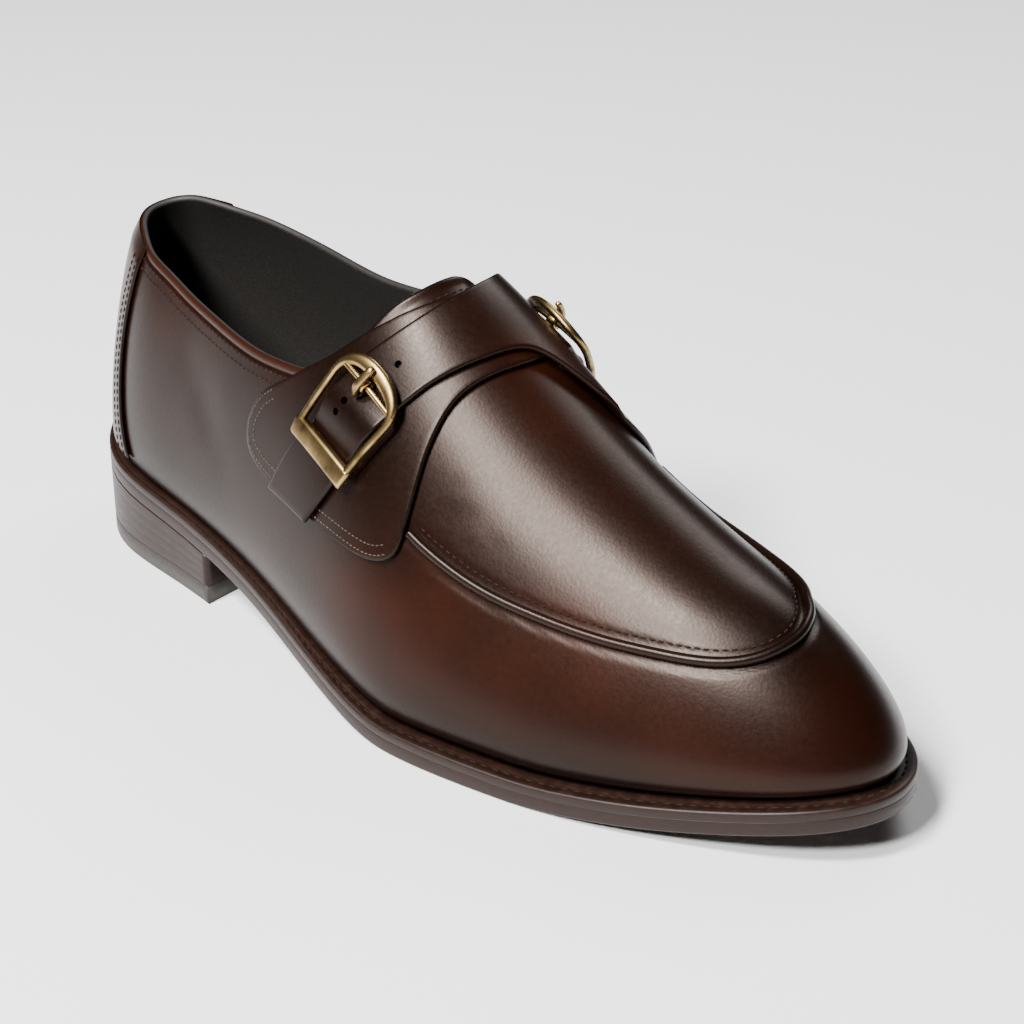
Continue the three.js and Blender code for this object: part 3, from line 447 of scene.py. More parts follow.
def makeBurnishedCalf(name="burnished_calf", look=calfLook):
    material, tree, shader, place = newMaterial(name)
    cloud = addNode(tree, "ShaderNodeTexNoise",
                    {"Scale": look["cloudScale"], "Detail": 3.0, "Roughness": 0.55}, {"Vector": place})
    tone = rampBetween(tree, cloud.outputs["Fac"],
                       [(0.3, look["dark"]), (0.52, look["middle"]), (0.72, look["warm"])])
    edge = addNode(tree, "ShaderNodeAttribute", {"attribute_name": "edgeMm"})
    nearEdge = addNode(tree, "ShaderNodeMapRange",
                       {"From Min": 0.2, "From Max": 2.5, "To Min": 0.6, "To Max": 0.0},
                       {"Value": edge.outputs["Fac"]})
    colour = addNode(tree, "ShaderNodeMix", {"data_type": "RGBA", 7: toLinear(look["edge"])},
                     {0: nearEdge.outputs["Result"], 6: tone})
    parts = addNode(tree, "ShaderNodeSeparateXYZ", links={"Vector": place})
    # Darker towards the bottom of the upper, below the given height, and burnished darker towards the toe.
    low = addNode(tree, "ShaderNodeMapRange",
                  {"From Min": 12 * mm, "From Max": look["darkenBelowHeight"] * mm, "To Min": 0.85, "To Max": 0.0},
                  {"Value": parts.outputs["Z"]})
    tip = addNode(tree, "ShaderNodeMapRange",
                  {"From Min": look["burnishFrom"] * mm, "From Max": 150 * mm, "To Min": 0.0, "To Max": 0.8},
                  {"Value": parts.outputs["X"]})
    toeBurnishAndLowDarkening = addNode(tree, "ShaderNodeMath", {"operation": "MAXIMUM"}, {0: low.outputs[0], 1: tip.outputs[0]})
    colour = addNode(tree, "ShaderNodeMix", {"data_type": "RGBA", 7: toLinear(look["dark"])},
                     {0: toeBurnishAndLowDarkening.outputs[0], 6: colour.outputs[2]})
    # The topline rim is painted paler: partly rubbed wear, partly a painted highlight on the rolled edge.
    rimWearAndSheen = addNode(tree, "ShaderNodeAttribute", {"attribute_name": "rimWearAndSheen"})
    rimWearAndSheenColour = addNode(tree, "ShaderNodeMix", {"data_type": "RGBA", 7: toLinear(look["worn"])},
                     {0: rimWearAndSheen.outputs["Fac"], 6: colour.outputs[2]})
    tree.links.new(rimWearAndSheenColour.outputs[2], shader.inputs["Base Color"])
    grain = addNode(tree, "ShaderNodeTexVoronoi",
                    {"feature": "SMOOTH_F1", "Scale": 1 / (look["grainWidth"] * mm), "Randomness": 1.0}, {"Vector": place})
    fine = addNode(tree, "ShaderNodeTexNoise",
                   {"Scale": 0.6 / (look["grainWidth"] * mm), "Detail": 4.0, "Roughness": 0.6},
                   {"Vector": place})
    wave = addNode(tree, "ShaderNodeTexNoise", {"Scale": 90.0, "Detail": 2.0}, {"Vector": place})
    heights = addNode(tree, "ShaderNodeMath", {"operation": "MULTIPLY_ADD", 1: 0.3},
                      {0: fine.outputs["Fac"], 2: grain.outputs["Distance"]})
    heights = addNode(tree, "ShaderNodeMath", {"operation": "MULTIPLY_ADD", 1: 0.8},
                      {0: wave.outputs["Fac"], 2: heights.outputs[0]})
    bump = addNode(tree, "ShaderNodeBump", {"Strength": 0.4, "Distance": look["grainDepth"] * mm},
                   {"Height": heights.outputs[0]})
    tree.links.new(bump.outputs["Normal"], shader.inputs["Normal"])
    rough = addNode(tree, "ShaderNodeMapRange",
                    {"From Min": 0.3, "From Max": 0.7, "To Min": look["roughness"] - 0.03,
                     "To Max": look["roughness"] + 0.04}, {"Value": fine.outputs["Fac"]})
    tree.links.new(rough.outputs["Result"], shader.inputs["Roughness"])
    shader.inputs["Coat Weight"].default_value = look["coat"]
    shader.inputs["Coat Roughness"].default_value = look["coatRoughness"]
    shader.inputs["Specular IOR Level"].default_value = look["specular"]
    shader.inputs["Specular Tint"].default_value = toLinear(look["shine"])
    return material


# Lining: undyed-back kip leather, dyed black and unglazed, so it stays dull.
def makeLining():
    material, tree, shader, place = newMaterial("black_lining_leather")
    pores = addNode(tree, "ShaderNodeTexNoise", {"Scale": 1400.0, "Detail": 4.0}, {"Vector": place})
    tone = rampBetween(tree, pores.outputs["Fac"], [(0.3, "#0d0b09"), (0.7, "#1c1814")])
    tree.links.new(tone, shader.inputs["Base Color"])
    bump = addNode(tree, "ShaderNodeBump", {"Strength": 0.4, "Distance": 0.06 * mm},
                   {"Height": pores.outputs["Fac"]})
    tree.links.new(bump.outputs["Normal"], shader.inputs["Normal"])
    shader.inputs["Roughness"].default_value = 0.62
    return material


# Sole edge: oak bark tanned leather, inked dark brown, hot waxed: fine level fibres and a low shine.
def makeSoleEdge():
    material, tree, shader, place = newMaterial("waxed_sole_edge")
    stretch = addNode(tree, "ShaderNodeMapping", {"Scale": (1, 1, 9)}, {"Vector": place})
    fibre = addNode(tree, "ShaderNodeTexNoise", {"Scale": 260.0, "Detail": 5.0, "Roughness": 0.6},
                    {"Vector": stretch.outputs["Vector"]})
    tone = rampBetween(tree, fibre.outputs["Fac"], [(0.3, "#180c07"), (0.55, "#1f100a"), (0.75, "#281610")])
    tree.links.new(tone, shader.inputs["Base Color"])
    bump = addNode(tree, "ShaderNodeBump", {"Strength": 0.3, "Distance": 0.04 * mm},
                   {"Height": fibre.outputs["Fac"]})
    tree.links.new(bump.outputs["Normal"], shader.inputs["Normal"])
    rough = addNode(tree, "ShaderNodeMapRange",
                    {"From Min": 0.3, "From Max": 0.7, "To Min": 0.38, "To Max": 0.52},
                    {"Value": fibre.outputs["Fac"]})
    tree.links.new(rough.outputs["Result"], shader.inputs["Roughness"])
    shader.inputs["Specular IOR Level"].default_value = 0.25
    return material


# Heel rubber: moulded nitrile, matt black-brown with a fine stipple.
def makeHeelRubber():
    material, tree, shader, place = newMaterial("heel_rubber")
    stipple = addNode(tree, "ShaderNodeTexNoise", {"Scale": 900.0, "Detail": 3.0}, {"Vector": place})
    tone = rampBetween(tree, stipple.outputs["Fac"], [(0.3, "#1c1714"), (0.7, "#2e2723")])
    tree.links.new(tone, shader.inputs["Base Color"])
    bump = addNode(tree, "ShaderNodeBump", {"Strength": 0.3, "Distance": 0.05 * mm},
                   {"Height": stipple.outputs["Fac"]})
    tree.links.new(bump.outputs["Normal"], shader.inputs["Normal"])
    shader.inputs["Roughness"].default_value = 0.6
    return material


# Aged brass: cast, barrel polished and browned, so flats shine and hollows are dark.
brassLook = {"bright": "#a58b5c", "worn": "#7a6440", "dark": "#3c2e1a", "roughness": 0.27}


def makeAgedBrass():
    material, tree, shader, place = newMaterial("aged_brass")
    patina = addNode(tree, "ShaderNodeTexNoise", {"Scale": 160.0, "Detail": 4.0, "Roughness": 0.5},
                     {"Vector": place})
    tone = rampBetween(tree, patina.outputs["Fac"],
                       [(0.28, brassLook["dark"]), (0.45, brassLook["worn"]), (0.66, brassLook["bright"])])
    tree.links.new(tone, shader.inputs["Base Color"])
    rough = addNode(tree, "ShaderNodeMapRange",
                    {"From Min": 0.3, "From Max": 0.7, "To Min": 0.36, "To Max": brassLook["roughness"]},
                    {"Value": patina.outputs["Fac"]})
    tree.links.new(rough.outputs["Result"], shader.inputs["Roughness"])
    bump = addNode(tree, "ShaderNodeBump", {"Strength": 0.15, "Distance": 0.04 * mm},
                   {"Height": patina.outputs["Fac"]})
    tree.links.new(bump.outputs["Normal"], shader.inputs["Normal"])
    shader.inputs["Metallic"].default_value = 1.0
    return material


# Thread: waxed linen, two colours: tone on tone in the upper, paler in the welt.
def makeThread(name, dark, light):
    material, tree, shader, place = newMaterial(name)
    twist = addNode(tree, "ShaderNodeTexNoise", {"Scale": 2200.0, "Detail": 2.0}, {"Vector": place})
    tone = rampBetween(tree, twist.outputs["Fac"], [(0.35, dark), (0.65, light)])
    tree.links.new(tone, shader.inputs["Base Color"])
    shader.inputs["Roughness"].default_value = 0.8
    shader.inputs["Specular IOR Level"].default_value = 0.15
    return material


calf = makeBurnishedCalf()
lining = makeLining()
soleEdge = makeSoleEdge()
heelRubber = makeHeelRubber()
agedBrass = makeAgedBrass()
upperThread = makeThread("waxed_brown_thread", "#120905", "#2a1a12")
lobeThread = makeThread("waxed_pale_thread", "#2a221c", "#544a41")
weltThread = makeThread("waxed_tan_thread", "#120a07", "#281a12")
print("materials made")


# Upper: one shell from the feather to the topline and over the vamp.
upper = {
    "wall": 2.2, "columns": 440, "rows": 84, "tuck": 0.9, "grooveDepth": 0.55, "grooveWidth": 0.9,
    "bandWidth": 2.7, "bandDepth": 0.3,
}
apron = {
    "side": [-1] * 9 + [1] * 8,
    "at": [0.582, 0.618, 0.67, 0.725, 0.778, 0.829, 0.883, 0.93, 0.972,
           1, 0.972, 0.93, 0.88, 0.83, 0.77, 0.715, 0.655],
    "girth": [0.531, 0.54, 0.541, 0.52, 0.49, 0.448, 0.401, 0.352, 0.302,
              0.25, 0.222, 0.214, 0.251, 0.308, 0.366, 0.405, 0.41],
}
apronRows = np.arange(len(apron["at"]))
apronAngles = np.where(
    np.array(apron["side"]) < 0, angleAt(np.array(apron["at"])), fullTurn - angleAt(np.array(apron["at"]))
)
apronAngle, apronGirth = spline(apronRows, apronAngles), spline(apronRows, apron["girth"])
apronSteps = np.linspace(0, len(apronRows) - 1, 420)
apronLine = onLast(apronAngle(apronSteps), apronGirth(apronSteps))


def toplineGirthAt(angles):
    points = gridPoints[np.round(np.mod(angles, fullTurn) / fullTurn * surfaceGrid["angles"]).astype(int)]
    cut = points[..., 2] - toplineHeight(points[..., 0] / last["soleLength"]) - last["toplineTilt"] * points[..., 1]
    cut[points[..., 0] > topline["at"][-1] * last["soleLength"]] = -1
    girths = np.linspace(0, 1, surfaceGrid["girths"] + 1)
    found = []
    for row in cut:
        above = np.nonzero(row > 0)[0]
        if len(above) == 0:
            found.append(0)
            continue
        k = min(above[-1], len(girths) - 2)
        found.append(girths[k] + (girths[k + 1] - girths[k]) * row[k] / (row[k] - row[k + 1]))
    return np.array(found)


tableAngles = np.linspace(0, fullTurn, surfaceGrid["angles"] + 1)
toplineTable = toplineGirthAt(tableAngles)


def toplineGirth(angle):
    return np.interp(np.mod(angle, fullTurn), tableAngles, toplineTable)


def nearestOnLine(points, line):  # distance to a polyline's points and which one is nearest
    points = points.reshape(-1, 3)
    best = np.full(len(points), 1e9)
    which = np.zeros(len(points), int)
    for start in range(0, len(points), 4000):
        part = points[start : start + 4000]
        apart = np.linalg.norm(part[:, None] - line[None], axis=-1)
        which[start : start + 4000] = apart.argmin(1)
        best[start : start + 4000] = apart.min(1)
    return best, which


def makeUpper():
    angles = np.linspace(0, fullTurn, upper["columns"] + 1)[:-1]
    throat = angles[toplineGirth(angles) > 0]
    edgeAngle = throat[throat < math.pi].max()
    extra = np.linspace(edgeAngle - 0.03, edgeAngle + 0.03, 13)
    angles = np.unique(np.concatenate([angles, extra, fullTurn - extra]))
    top = toplineGirth(angles)
    rows = np.linspace(0, 1, upper["rows"]) ** 1.6
    girth = top[None, :] + (1 - top[None, :]) * rows[:, None]
    around = np.broadcast_to(angles[None, :], girth.shape)
    down = (girth - top[None, :]) * arcAt(angles)[None, :]
    cut = np.broadcast_to(top[None, :] > 0, girth.shape)
    half = upper["wall"] / 2
    roll = np.where(cut, np.sqrt(np.clip(1 - (1 - np.clip(down / half, 0, 1)) ** 2, 0, 1)), 1)
    up = (1 - girth) * arcAt(angles)[None, :]
    tuck = upper["tuck"] * np.clip(1 - up / 2, 0, 1) ** 2
    flat = onLast(around, girth)
    near, which = nearestOnLine(flat, apronLine)
    near = near.reshape(girth.shape) / mm
    outside = girth > apronGirth(apronSteps)[which].reshape(girth.shape)
    groove = upper["grooveDepth"] * np.exp(-(((near - 1.9) / upper["grooveWidth"]) ** 2)) * np.where(outside, 1, 0.55)
    band = upper["bandDepth"] * np.exp(-(((down - upper["bandWidth"]) / 0.4) ** 2)) * cut
    outer = onLast(around, girth, half * (roll - 1) - tuck - groove - band)
    inner = onLast(around, girth, -half * (1 + roll))
    count = girth.size
    faces = gridFaces(*girth.shape, closed=True)
    faces += gridFaces(*girth.shape, start=count, closed=True, flip=True)
    n = girth.shape[1]
    foot = (girth.shape[0] - 1) * n
    i = np.arange(n)
    k = (i + 1) % n
    faces += np.stack([foot + i, foot + k, count + foot + k, count + foot + i], -1)[:, ::-1].tolist()
    edge = np.where(cut, down, 60)
    attributes = {
        "edgeMm": np.concatenate([edge.ravel(), edge.ravel()]),
        # the paler topline rim: partly rubbed wear, partly a painted highlight on the rolled edge
        "rimWearAndSheen": np.concatenate([(0.6 * np.clip((upper["bandWidth"] - edge) / 0.6, 0, 1)).ravel(), np.zeros(count)]),
    }
    points = np.concatenate([outer.reshape(-1, 3), inner.reshape(-1, 3)])
    piece = buildMesh("dressed_upper", points, faces, calf, attributes=attributes)
    piece.data.materials.append(lining)
    tree = BVHTree.FromPolygons(inner.reshape(-1, 3).tolist(), gridFaces(*girth.shape, closed=True))
    for face in piece.data.polygons:
        where, _, _, gap = tree.find_nearest(face.center)
        if gap is not None and gap < 0.0005:
            face.material_index = 1
    return finishPiece(piece, "calf", "upper")


dressedUpper = makeUpper()
print("upper made")


# Leather sheets on the upper: rows across, each with its rear and front edge as shares of the length.
strapLevel = {"gap": 0.25, "thickness": 1.8, "swell": 1.5}
outerWing = {
    "across": [-0.685, -0.68, -0.667, -0.645, -0.61, -0.565, -0.504, -0.451, -0.388, -0.339, -0.291,
               -0.224, -0.151, -0.077, 0, 0.06, 0.12, 0.17, 0.225, 0.28, 0.325, 0.37, 0.43, 0.49, 0.55, 0.61],
    "rear": [0.405, 0.385, 0.367, 0.355, 0.35, 0.352, 0.365, 0.391, 0.422, 0.445, 0.462,
             0.483, 0.502, 0.518, 0.528, 0.528, 0.524, 0.52, 0.515, 0.51, 0.506, 0.501, 0.494, 0.486, 0.479, 0.472],
    "front": [0.435, 0.475, 0.522, 0.553, 0.571, 0.577, 0.577, 0.576, 0.574, 0.573, 0.573,
              0.575, 0.582, 0.591, 0.596, 0.591, 0.584, 0.577, 0.571, 0.566, 0.562, 0.557, 0.551, 0.545, 0.538, 0.531],
    "over": [0] * 17 + [1] * 9,
    "swell": [0] * 19 + [1, 0.7] + [0] * 5,
}
innerWing = {
    "across": [0.685, 0.68, 0.66, 0.63, 0.58, 0.52, 0.451, 0.388, 0.339, 0.291, 0.224, 0.165, 0.115, 0.06,
               0, -0.085, -0.172, -0.25, -0.3, -0.34, -0.4, -0.44, -0.49, -0.55, -0.61, -0.69],
    "rear": [0.42, 0.395, 0.37, 0.356, 0.352, 0.362, 0.391, 0.422, 0.445, 0.462, 0.474, 0.487, 0.501, 0.515,
             0.524, 0.522, 0.511, 0.496, 0.484, 0.4765, 0.4665, 0.46, 0.4505, 0.433, 0.42, 0.406],
    "front": [0.47, 0.53, 0.58, 0.612, 0.634, 0.643, 0.647, 0.65, 0.653, 0.656, 0.658, 0.655, 0.645, 0.618,
              0.591, 0.578, 0.564, 0.55, 0.5415, 0.534, 0.525, 0.518, 0.5095, 0.498, 0.486, 0.468],
    "over": [0] * 11 + [0.1] + [1] * 14,
    "swell": [0] * 20 + [1, 0.7] + [0] * 4,
}


def sheetFrom(name, table, columns, spacing, material, slotName, *nodes, seat=None, thickness=None):
    rows = np.arange(len(table["across"]))
    across, rear, front = (spline(rows, table[k]) for k in ("across", "rear", "front"))
    over, swell = monotone(rows, table["over"]), monotone(rows, table["swell"])
    thick = thickness or strapLevel["thickness"]
    seat = strapLevel["gap"] if seat is None else seat
    half = thick / 2

    def level(u):
        return seat + over(u) * (strapLevel["thickness"] + last["gap"]) + swell(u) * strapLevel["swell"] + half

    u = np.linspace(0, rows[-1], 1200)
    middle = onUpper((rear(u) + front(u)) / 2, across(u)) / mm
    run = np.concatenate([[0], np.cumsum(np.linalg.norm(np.diff(middle, axis=0), axis=1))])
    rim = np.array([0, 0.04, 0.16, 0.36, 0.63, 1]) * half
    inside = np.linspace(half, run[-1] - half, int(run[-1] / spacing))[1:-1]
    stations = np.concatenate([rim, inside, run[-1] - rim[::-1]])
    u = np.interp(stations, run, u)
    width = np.linalg.norm(
        onUpper(rear(u), across(u)) / mm - onUpper(front(u), across(u)) / mm, axis=-1
    )
    flat = np.linspace(0, 1, columns)[1:-1]
    edgeV = rim[None, :] / width[:, None]
    inner = edgeV[:, -1:] + (1 - 2 * edgeV[:, -1:]) * flat[None, :]
    v = np.concatenate([edgeV, inner, 1 - edgeV[:, ::-1]], 1)
    share = rear(u)[:, None] + (front(u) - rear(u))[:, None] * v
    acrossGrid = np.broadcast_to(across(u)[:, None], share.shape)
    sideways = np.minimum(v, 1 - v) * width[:, None]
    endways = np.minimum(stations, run[-1] - stations)[:, None]
    near = np.clip(np.minimum(sideways, endways) / half, 0, 1)
    round_ = half * np.sqrt(np.clip(1 - (1 - near) ** 2, 0, 1))
    centre = level(u)[:, None]
    top = onUpper(share, acrossGrid, centre + round_)
    bottom = onUpper(share, acrossGrid, centre - round_)
    count = share.size
    faces = gridFaces(*share.shape) + gridFaces(*share.shape, start=count, flip=True)
    edge = np.broadcast_to(np.minimum(sideways, endways), share.shape)
    piece = buildMesh(
        name, np.concatenate([top.reshape(-1, 3), bottom.reshape(-1, 3)]), faces, material,
        attributes={"edgeMm": np.concatenate([edge.ravel(), edge.ravel()])}, merge=0.000012,
    )
    return finishPiece(piece, slotName, *nodes)


dressedOuterWing = sheetFrom("dressed_outer_wing", outerWing, 34, 1.6, calf, "calf", "outer_wing")
dressedInnerWing = sheetFrom("dressed_inner_wing", innerWing, 34, 1.6, calf, "calf", "inner_wing")
print("wings made")


# Tongue: its rear edge, inside the throat, is a rolled binding.
tongue = {"depth": 3.1, "thickness": 2, "front": 0.575, "roll": 0.7}
tongueEdge = {
    "across": [-0.36, -0.29, -0.226, -0.168, -0.1, 0, 0.1, 0.2, 0.36],
    "at": [0.428, 0.4545, 0.467, 0.4765, 0.4885, 0.497, 0.494, 0.481, 0.445],
}
tongueEdgeAt = spline(tongueEdge["across"], tongueEdge["at"])


def makeTongue():
    across = np.linspace(-0.36, 0.36, 90)
    down = np.concatenate([np.array([0, 0.06, 0.22, 0.5, 0.9, 1.4]), np.linspace(2, 24, 26)])
    rear = tongueEdgeAt(across)
    share = rear[None, :] + down[:, None] / last["soleLength"]
    grid = np.broadcast_to(across[None, :], share.shape)
    half = tongue["thickness"] / 2 + tongue["roll"] * np.exp(-((down / 2.6) ** 4))
    body = half * np.sqrt(np.clip(1 - (1 - np.clip(down / 1.4, 0, 1)) ** 2, 0, 1))
    middle = -tongue["depth"] - tongue["thickness"] / 2
    top = onUpper(share, grid, middle + body[:, None])
    bottom = onUpper(share, grid, middle - body[:, None])
    rows, cols = share.shape
    count = share.size
    faces = gridFaces(rows, cols) + gridFaces(rows, cols, start=count, flip=True)
    for j in (0, cols - 1):
        i = np.arange(rows - 1)
        faces += np.stack([i * cols + j, (i + 1) * cols + j, count + (i + 1) * cols + j, count + i * cols + j], -1).tolist()
    j = np.arange(cols - 1)
    end = (rows - 1) * cols
    faces += np.stack([end + j, end + j + 1, count + end + j + 1, count + end + j], -1).tolist()
    edge = np.broadcast_to(down[:, None], share.shape)
    piece = buildMesh(
        "dressed_tongue", np.concatenate([top.reshape(-1, 3), bottom.reshape(-1, 3)]), faces, calf,
        attributes={"edgeMm": np.concatenate([edge.ravel(), edge.ravel()])},
    )
    return finishPiece(piece, "calf", "tongue")


dressedTongue = makeTongue()


# Heel counter: laid round the back, its front edge on both sides.
counter = {"thickness": 1.1, "seat": 0.3, "low": 0.962}
counterEdge = {
    "girth": [0.2, 0.29, 0.43, 0.58, 0.72, 0.85, 0.97],
    "at": [0.106, 0.099, 0.093, 0.091, 0.098, 0.112, 0.131],
}
counterEdgeAt = spline(counterEdge["girth"], counterEdge["at"])


def makeCounter():
    turns = np.linspace(-1, 1, 121)
    edge = angleAt(counterEdgeAt(0.3))
    around = np.where(turns < 0, -turns * edge, fullTurn - turns * edge)
    top = toplineGirth(around) + 0.6 / arcAt(around)
    down = np.concatenate([np.array([0, 0.02, 0.06, 0.12]) / 12, np.linspace(0.02, 1, 44)])
    girth = top[None, :] + (counter["low"] - top[None, :]) * down[:, None]
    reach = angleAt(counterEdgeAt(girth))
    angle = np.where(turns[None, :] < 0, -turns[None, :] * reach, fullTurn - turns[None, :] * reach)
    side = (1 - np.abs(turns))[None, :] * reach * 42
    fromTop = (girth - top[None, :]) * arcAt(around)[None, :]
    half = counter["thickness"] / 2 * (0.35 + 0.65 * np.clip(fromTop / 6, 0, 1))
    near = np.clip(np.minimum(side, fromTop) / half, 0, 1)
    body = half * np.sqrt(np.clip(1 - (1 - near) ** 2, 0, 1))
    centre = counter["seat"] * np.clip(fromTop / 6, 0.1, 1) + half
    outer = onLast(angle, girth, centre + body)
    inner = onLast(angle, girth, centre - body)
    rows, cols = girth.shape
    count = girth.size
    faces = gridFaces(rows, cols) + gridFaces(rows, cols, start=count, flip=True)
    j = np.arange(cols - 1)
    end = (rows - 1) * cols
    faces += np.stack([end + j, end + j + 1, count + end + j + 1, count + end + j], -1).tolist()
    distance = np.minimum(side, fromTop)
    piece = buildMesh(
        "dressed_counter", np.concatenate([outer.reshape(-1, 3), inner.reshape(-1, 3)]), faces, calf,
        attributes={"edgeMm": np.concatenate([distance.ravel(), distance.ravel()])},
    )
    return finishPiece(piece, "calf", "heel_counter")


dressedCounter = makeCounter()
print("tongue and counter made")


# Bottom: rims that follow the sole's plan, each a loop of insets and heights in mm.
def rimPiece(name, loops, material, slotName, *nodes, stations=180, fillTop=True, fillBottom=True):
    angles = np.linspace(0, fullTurn, 2 * stations + 1)[:-1]
    share = shareAt(angles)
    points = []
    for inset, height in loops:
        plan = edgePoint(angles, np.broadcast_to(inset(share) if callable(inset) else inset, angles.shape))
        points.append(np.concatenate([plan, np.broadcast_to(height(share), angles.shape)[:, None]], -1))
    points = np.array(points)
    n = len(angles)
    closed = not (fillTop or fillBottom)
    faces = gridFaces(len(loops), n, closed=True)
    if closed:
        faces += [[(len(loops) - 1) * n + i, i, (i + 1) % n, (len(loops) - 1) * n + (i + 1) % n] for i in range(n)]
    extra = []
    start = points.size // 3
    for filled, loop, flip in ((fillTop, points[0], True), (fillBottom, points[-1], False)):
        if not filled:
            continue
        right, left = loop[: stations + 1], np.concatenate([loop[:1], loop[:stations - 1 : -1]])
        across = np.linspace(0, 1, 13)[None, :, None]
        grid = right[:, None] * (1 - across) + left[:, None] * across
        extra.append(grid.reshape(-1, 3))
        faces += gridFaces(stations + 1, 13, start=start, flip=flip)
        start += grid.size // 3
    allPoints = np.concatenate([points.reshape(-1, 3), *extra]) + offset
    piece = buildMesh(name, allPoints * mm, faces, material)
    return finishPiece(piece, slotName, *nodes)


outsole = {"thickness": 4.2, "jointRound": 0.12, "underRound": 0.8, "channelInset": 7, "channelDepth": 0.5}


def outsoleLoops():
    thick, soft, deep = outsole["thickness"], outsole["underRound"], outsole["channelDepth"]
    inset, line = outsole["channelInset"], outsole["jointRound"]
    rows = [(14, thick), (line, thick), (line / 3, thick - line / 3), (0, thick - line), (0.04, thick * 0.55)]
    rows += [(soft * (1 - math.cos(t)), soft * (1 - math.sin(t))) for t in (0.0, 0.4, 0.8, 1.2, 1.57)]
    rows += [(inset - 0.7, 0), (inset - 0.4, deep), (inset + 0.4, deep), (inset + 0.7, 0), (14, 0)]
    return [(a, lambda s, b=b: soleUnder(s) + b) for a, b in rows]


dressedOutsole = rimPiece("dressed_outsole", outsoleLoops(), soleEdge, "sole_edge", "outsole")

welt = {"thickness": 2.4, "bead": 0.5, "seamInset": 2.6, "seamDepth": 0.35, "wheelPitch": 1.7}


def weltLoops():
    low = outsole["thickness"] + last["gap"]
    high = low + welt["thickness"]

    def under(share):
        return ledgeShare(share) * last["ballWidth"] + 2.4

    def at(offsetMm):
        return lambda share: ledgeShare(share) * last["ballWidth"] * offsetMm

    seam, line = welt["seamDepth"], outsole["jointRound"]
    base = outsole["thickness"] + 0.01  # the welt sits tight on the outsole
    rows = [
        (under, base), (under, high - 0.1), (at(0.8), high), (at(0.66), high - 0.04), (at(0.54), high - seam),
        (at(0.42), high - 0.03), (at(0.2), high), (0.75, high - 0.02), (0.4, high - 0.14), (0.16, high - 0.4),
        (0.03, high - 0.8), (0, high - 1.3), (0, base + line), (line / 3, base + line / 3), (line, base), (3, base),
    ]
    return [(a, lambda s, b=b: soleUnder(s) + b) for a, b in rows]


dressedWelt = rimPiece("dressed_welt", weltLoops(), soleEdge, "sole_edge", "welt", fillTop=False, fillBottom=False)

insole = {"thickness": 2.5, "inset": 3.1}


def insoleLoops():
    low = outsole["thickness"] + last["gap"]
    high = low + welt["thickness"] + last["gap"] + insole["thickness"]

    def at(more):
        return lambda share: ledgeShare(share) * last["ballWidth"] + insole["inset"] + more

    rows = [(at(12), high - 0.4), (at(5), high - 0.2), (at(0.8), high), (at(0.2), high - 0.3), (at(0), high - 0.9),
            (at(0), low + 0.5), (at(0.5), low), (at(12), low)]
    return [(a, lambda s, b=b: soleUnder(s) + b) for a, b in rows]


dressedInsole = rimPiece("dressed_insole", insoleLoops(), lining, "lining", "insole", stations=120)


# Heel: leather lifts with fine joints, on a rubber top piece.
heel = {"length": 84, "hollow": 2.5, "topPiece": 6, "lifts": 4, "joint": 0.02, "round": 0.3}


def heelOutline(inset):
    breast = heel["length"] / last["soleLength"]
    edge = float(angleAt(breast))
    angles = np.concatenate([np.linspace(edge, 0, 60), fullTurn - np.linspace(0, edge, 60)[1:]])
    plan = edgePoint(angles, np.full(angles.shape, inset))
    start, end = plan[-1], plan[0]
    k = np.linspace(0, 1, 26)[1:-1]
    line = start[None] * (1 - k)[:, None] + end[None] * k[:, None]
    line[:, 0] -= inset + heel["hollow"] * 4 * k * (1 - k)
    return np.concatenate([plan, line])


def heelPiece(name, levels, material, slotName, *nodes):
    rings = []
    for inset, height in levels:
        plan = heelOutline(inset)
        rings.append(np.concatenate([plan, height(plan[:, 0] / last["soleLength"])[:, None]], -1))
    rings = np.array(rings)
    n = rings.shape[1]
    faces = gridFaces(len(levels), n, closed=True)
    faces.append(list(range(n)))
    faces.append(list(range((len(levels) - 1) * n, len(levels) * n)))
    piece = buildMesh(name, (rings.reshape(-1, 3) + offset) * mm, faces, material, merge=0.000005)
    shape = bmesh.new()
    shape.from_mesh(piece.data)
    bmesh.ops.triangulate(shape, faces=[f for f in shape.faces if len(f.verts) > 4])
    shape.to_mesh(piece.data)
    shape.free()
    return finishPiece(piece, slotName, *nodes)


def heelLevels():
    low = heel["topPiece"] + 0.02
    levels = []
    for i in range(heel["lifts"]):
        for share, inset in ((0, heel["joint"]), (0.02, 0.01), (0.06, 0), (0.94, 0), (0.98, 0.01), (1, heel["joint"])):
            part = (i + share) / heel["lifts"]
            levels.append((inset, lambda s, p=part: low + (soleUnder(s) - 0.02 - low) * p))
    return levels[::-1]


def topPieceLevels():
    top, soft = heel["topPiece"], heel["round"]
    rows = [(soft, top), (0.15, top - 0.15), (0, top - soft), (0, soft), (0.2, 0.2), (soft, 0)]
    return [(a, lambda s, b=b: np.full(np.shape(s), float(b))) for a, b in rows]


dressedStack = heelPiece("dressed_heel_stack", heelLevels(), soleEdge, "sole_edge", "heel_stack")
dressedTopPiece = heelPiece("dressed_heel_top_piece", topPieceLevels(), heelRubber, "top_piece", "heel_top_piece")
print("bottom made")


